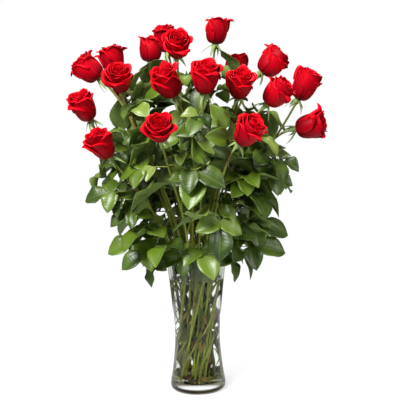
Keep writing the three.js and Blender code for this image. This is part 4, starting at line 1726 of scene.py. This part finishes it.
def place_camera():
    """A camera in front of the vase, a little above its middle, that looks slightly down."""
    ahead = Vector((
        math.sin(YAW) * math.cos(PITCH),
        math.cos(YAW) * math.cos(PITCH),
        -math.sin(PITCH),
    ))
    level = Vector((math.cos(YAW), -math.sin(YAW), 0))
    upright = level.cross(ahead)
    right = level * math.cos(ROLL) + upright * math.sin(ROLL)
    up = upright * math.cos(ROLL) - level * math.sin(ROLL)
    data = bpy.data.cameras.new("camera")
    data.sensor_width = SENSOR
    data.lens = SENSOR * FOCAL_PIXELS / PICTURE_PIXELS
    camera = bpy.data.objects.new("camera", data)
    bpy.context.scene.collection.objects.link(camera)
    turn = Matrix((right, up, -ahead)).transposed()
    camera.matrix_world = Matrix.Translation(CAMERA_AT) @ turn.to_4x4()
    bpy.context.scene.camera = camera


def soft_box(name, at, size, power):
    """A round soft lamp."""
    data = bpy.data.lights.new(name, "AREA")
    data.shape = "DISK"
    data.size = size
    data.energy = power
    lamp = bpy.data.objects.new(name, data)
    lamp.location = at
    lamp.rotation_mode = "QUATERNION"
    lamp.rotation_quaternion = (Vector(LAMPS_POINT_AT) - Vector(at)).to_track_quat("-Z", "Y")
    bpy.context.scene.collection.objects.link(lamp)


def white_surroundings():
    """White where the camera looks past everything or through the glass, and weaker as a light."""
    world = bpy.data.worlds.new("surroundings")
    bpy.context.scene.world = world
    world.use_nodes = True
    tree = world.node_tree
    background = tree.nodes["Background"]
    background.inputs["Color"].default_value = WHITE
    path = tree.nodes.new("ShaderNodeLightPath")
    either = tree.nodes.new("ShaderNodeMath")
    either.operation = "MAXIMUM"
    strength = tree.nodes.new("ShaderNodeMapRange")
    strength.inputs["To Min"].default_value = SURROUNDINGS_AS_LIGHT
    strength.inputs["To Max"].default_value = SURROUNDINGS_SEEN
    tree.links.new(path.outputs["Is Camera Ray"], either.inputs[0])
    tree.links.new(path.outputs["Is Transmission Ray"], either.inputs[1])
    tree.links.new(either.outputs[0], strength.inputs["Value"])
    tree.links.new(strength.outputs["Result"], background.inputs["Strength"])


def pale_floor():
    """A pale floor that is lit near the vase and turns into its own white further out."""
    deselect()
    bpy.ops.mesh.primitive_circle_add(
        vertices=FLOOR_SIDES,
        radius=FLOOR_RADIUS,
        fill_type="NGON",
        location=(0, 0, -FLOOR_GAP),
    )
    floor = bpy.context.object
    floor.name = "studio_floor"
    finish = Finish("studio_floor", Emission_Strength=1.0)
    place = finish.place()
    grain = finish.noise(place, FLOOR_GRAIN_SCALE)
    away = finish.node("ShaderNodeVectorMath", {"operation": "LENGTH"}, {0: place})["Value"]
    outer = away.between(FLOOR_LIT_FROM, FLOOR_RADIUS * FLOOR_WHITE_FROM)
    finish.feed("Emission Color", finish.mixed(outer, FLOOR_GLOW, WHITE))
    finish.feed("Base Color", finish.mixed(grain, *FLOOR_GREYS))
    finish.roughen(grain, least=0.8, more=0.1)
    floor.data.materials.append(finish.material)


place_camera()
white_surroundings()
pale_floor()
for lamp in LAMPS:
    soft_box(*lamp)
bpy.context.scene.view_settings.view_transform = "Standard"
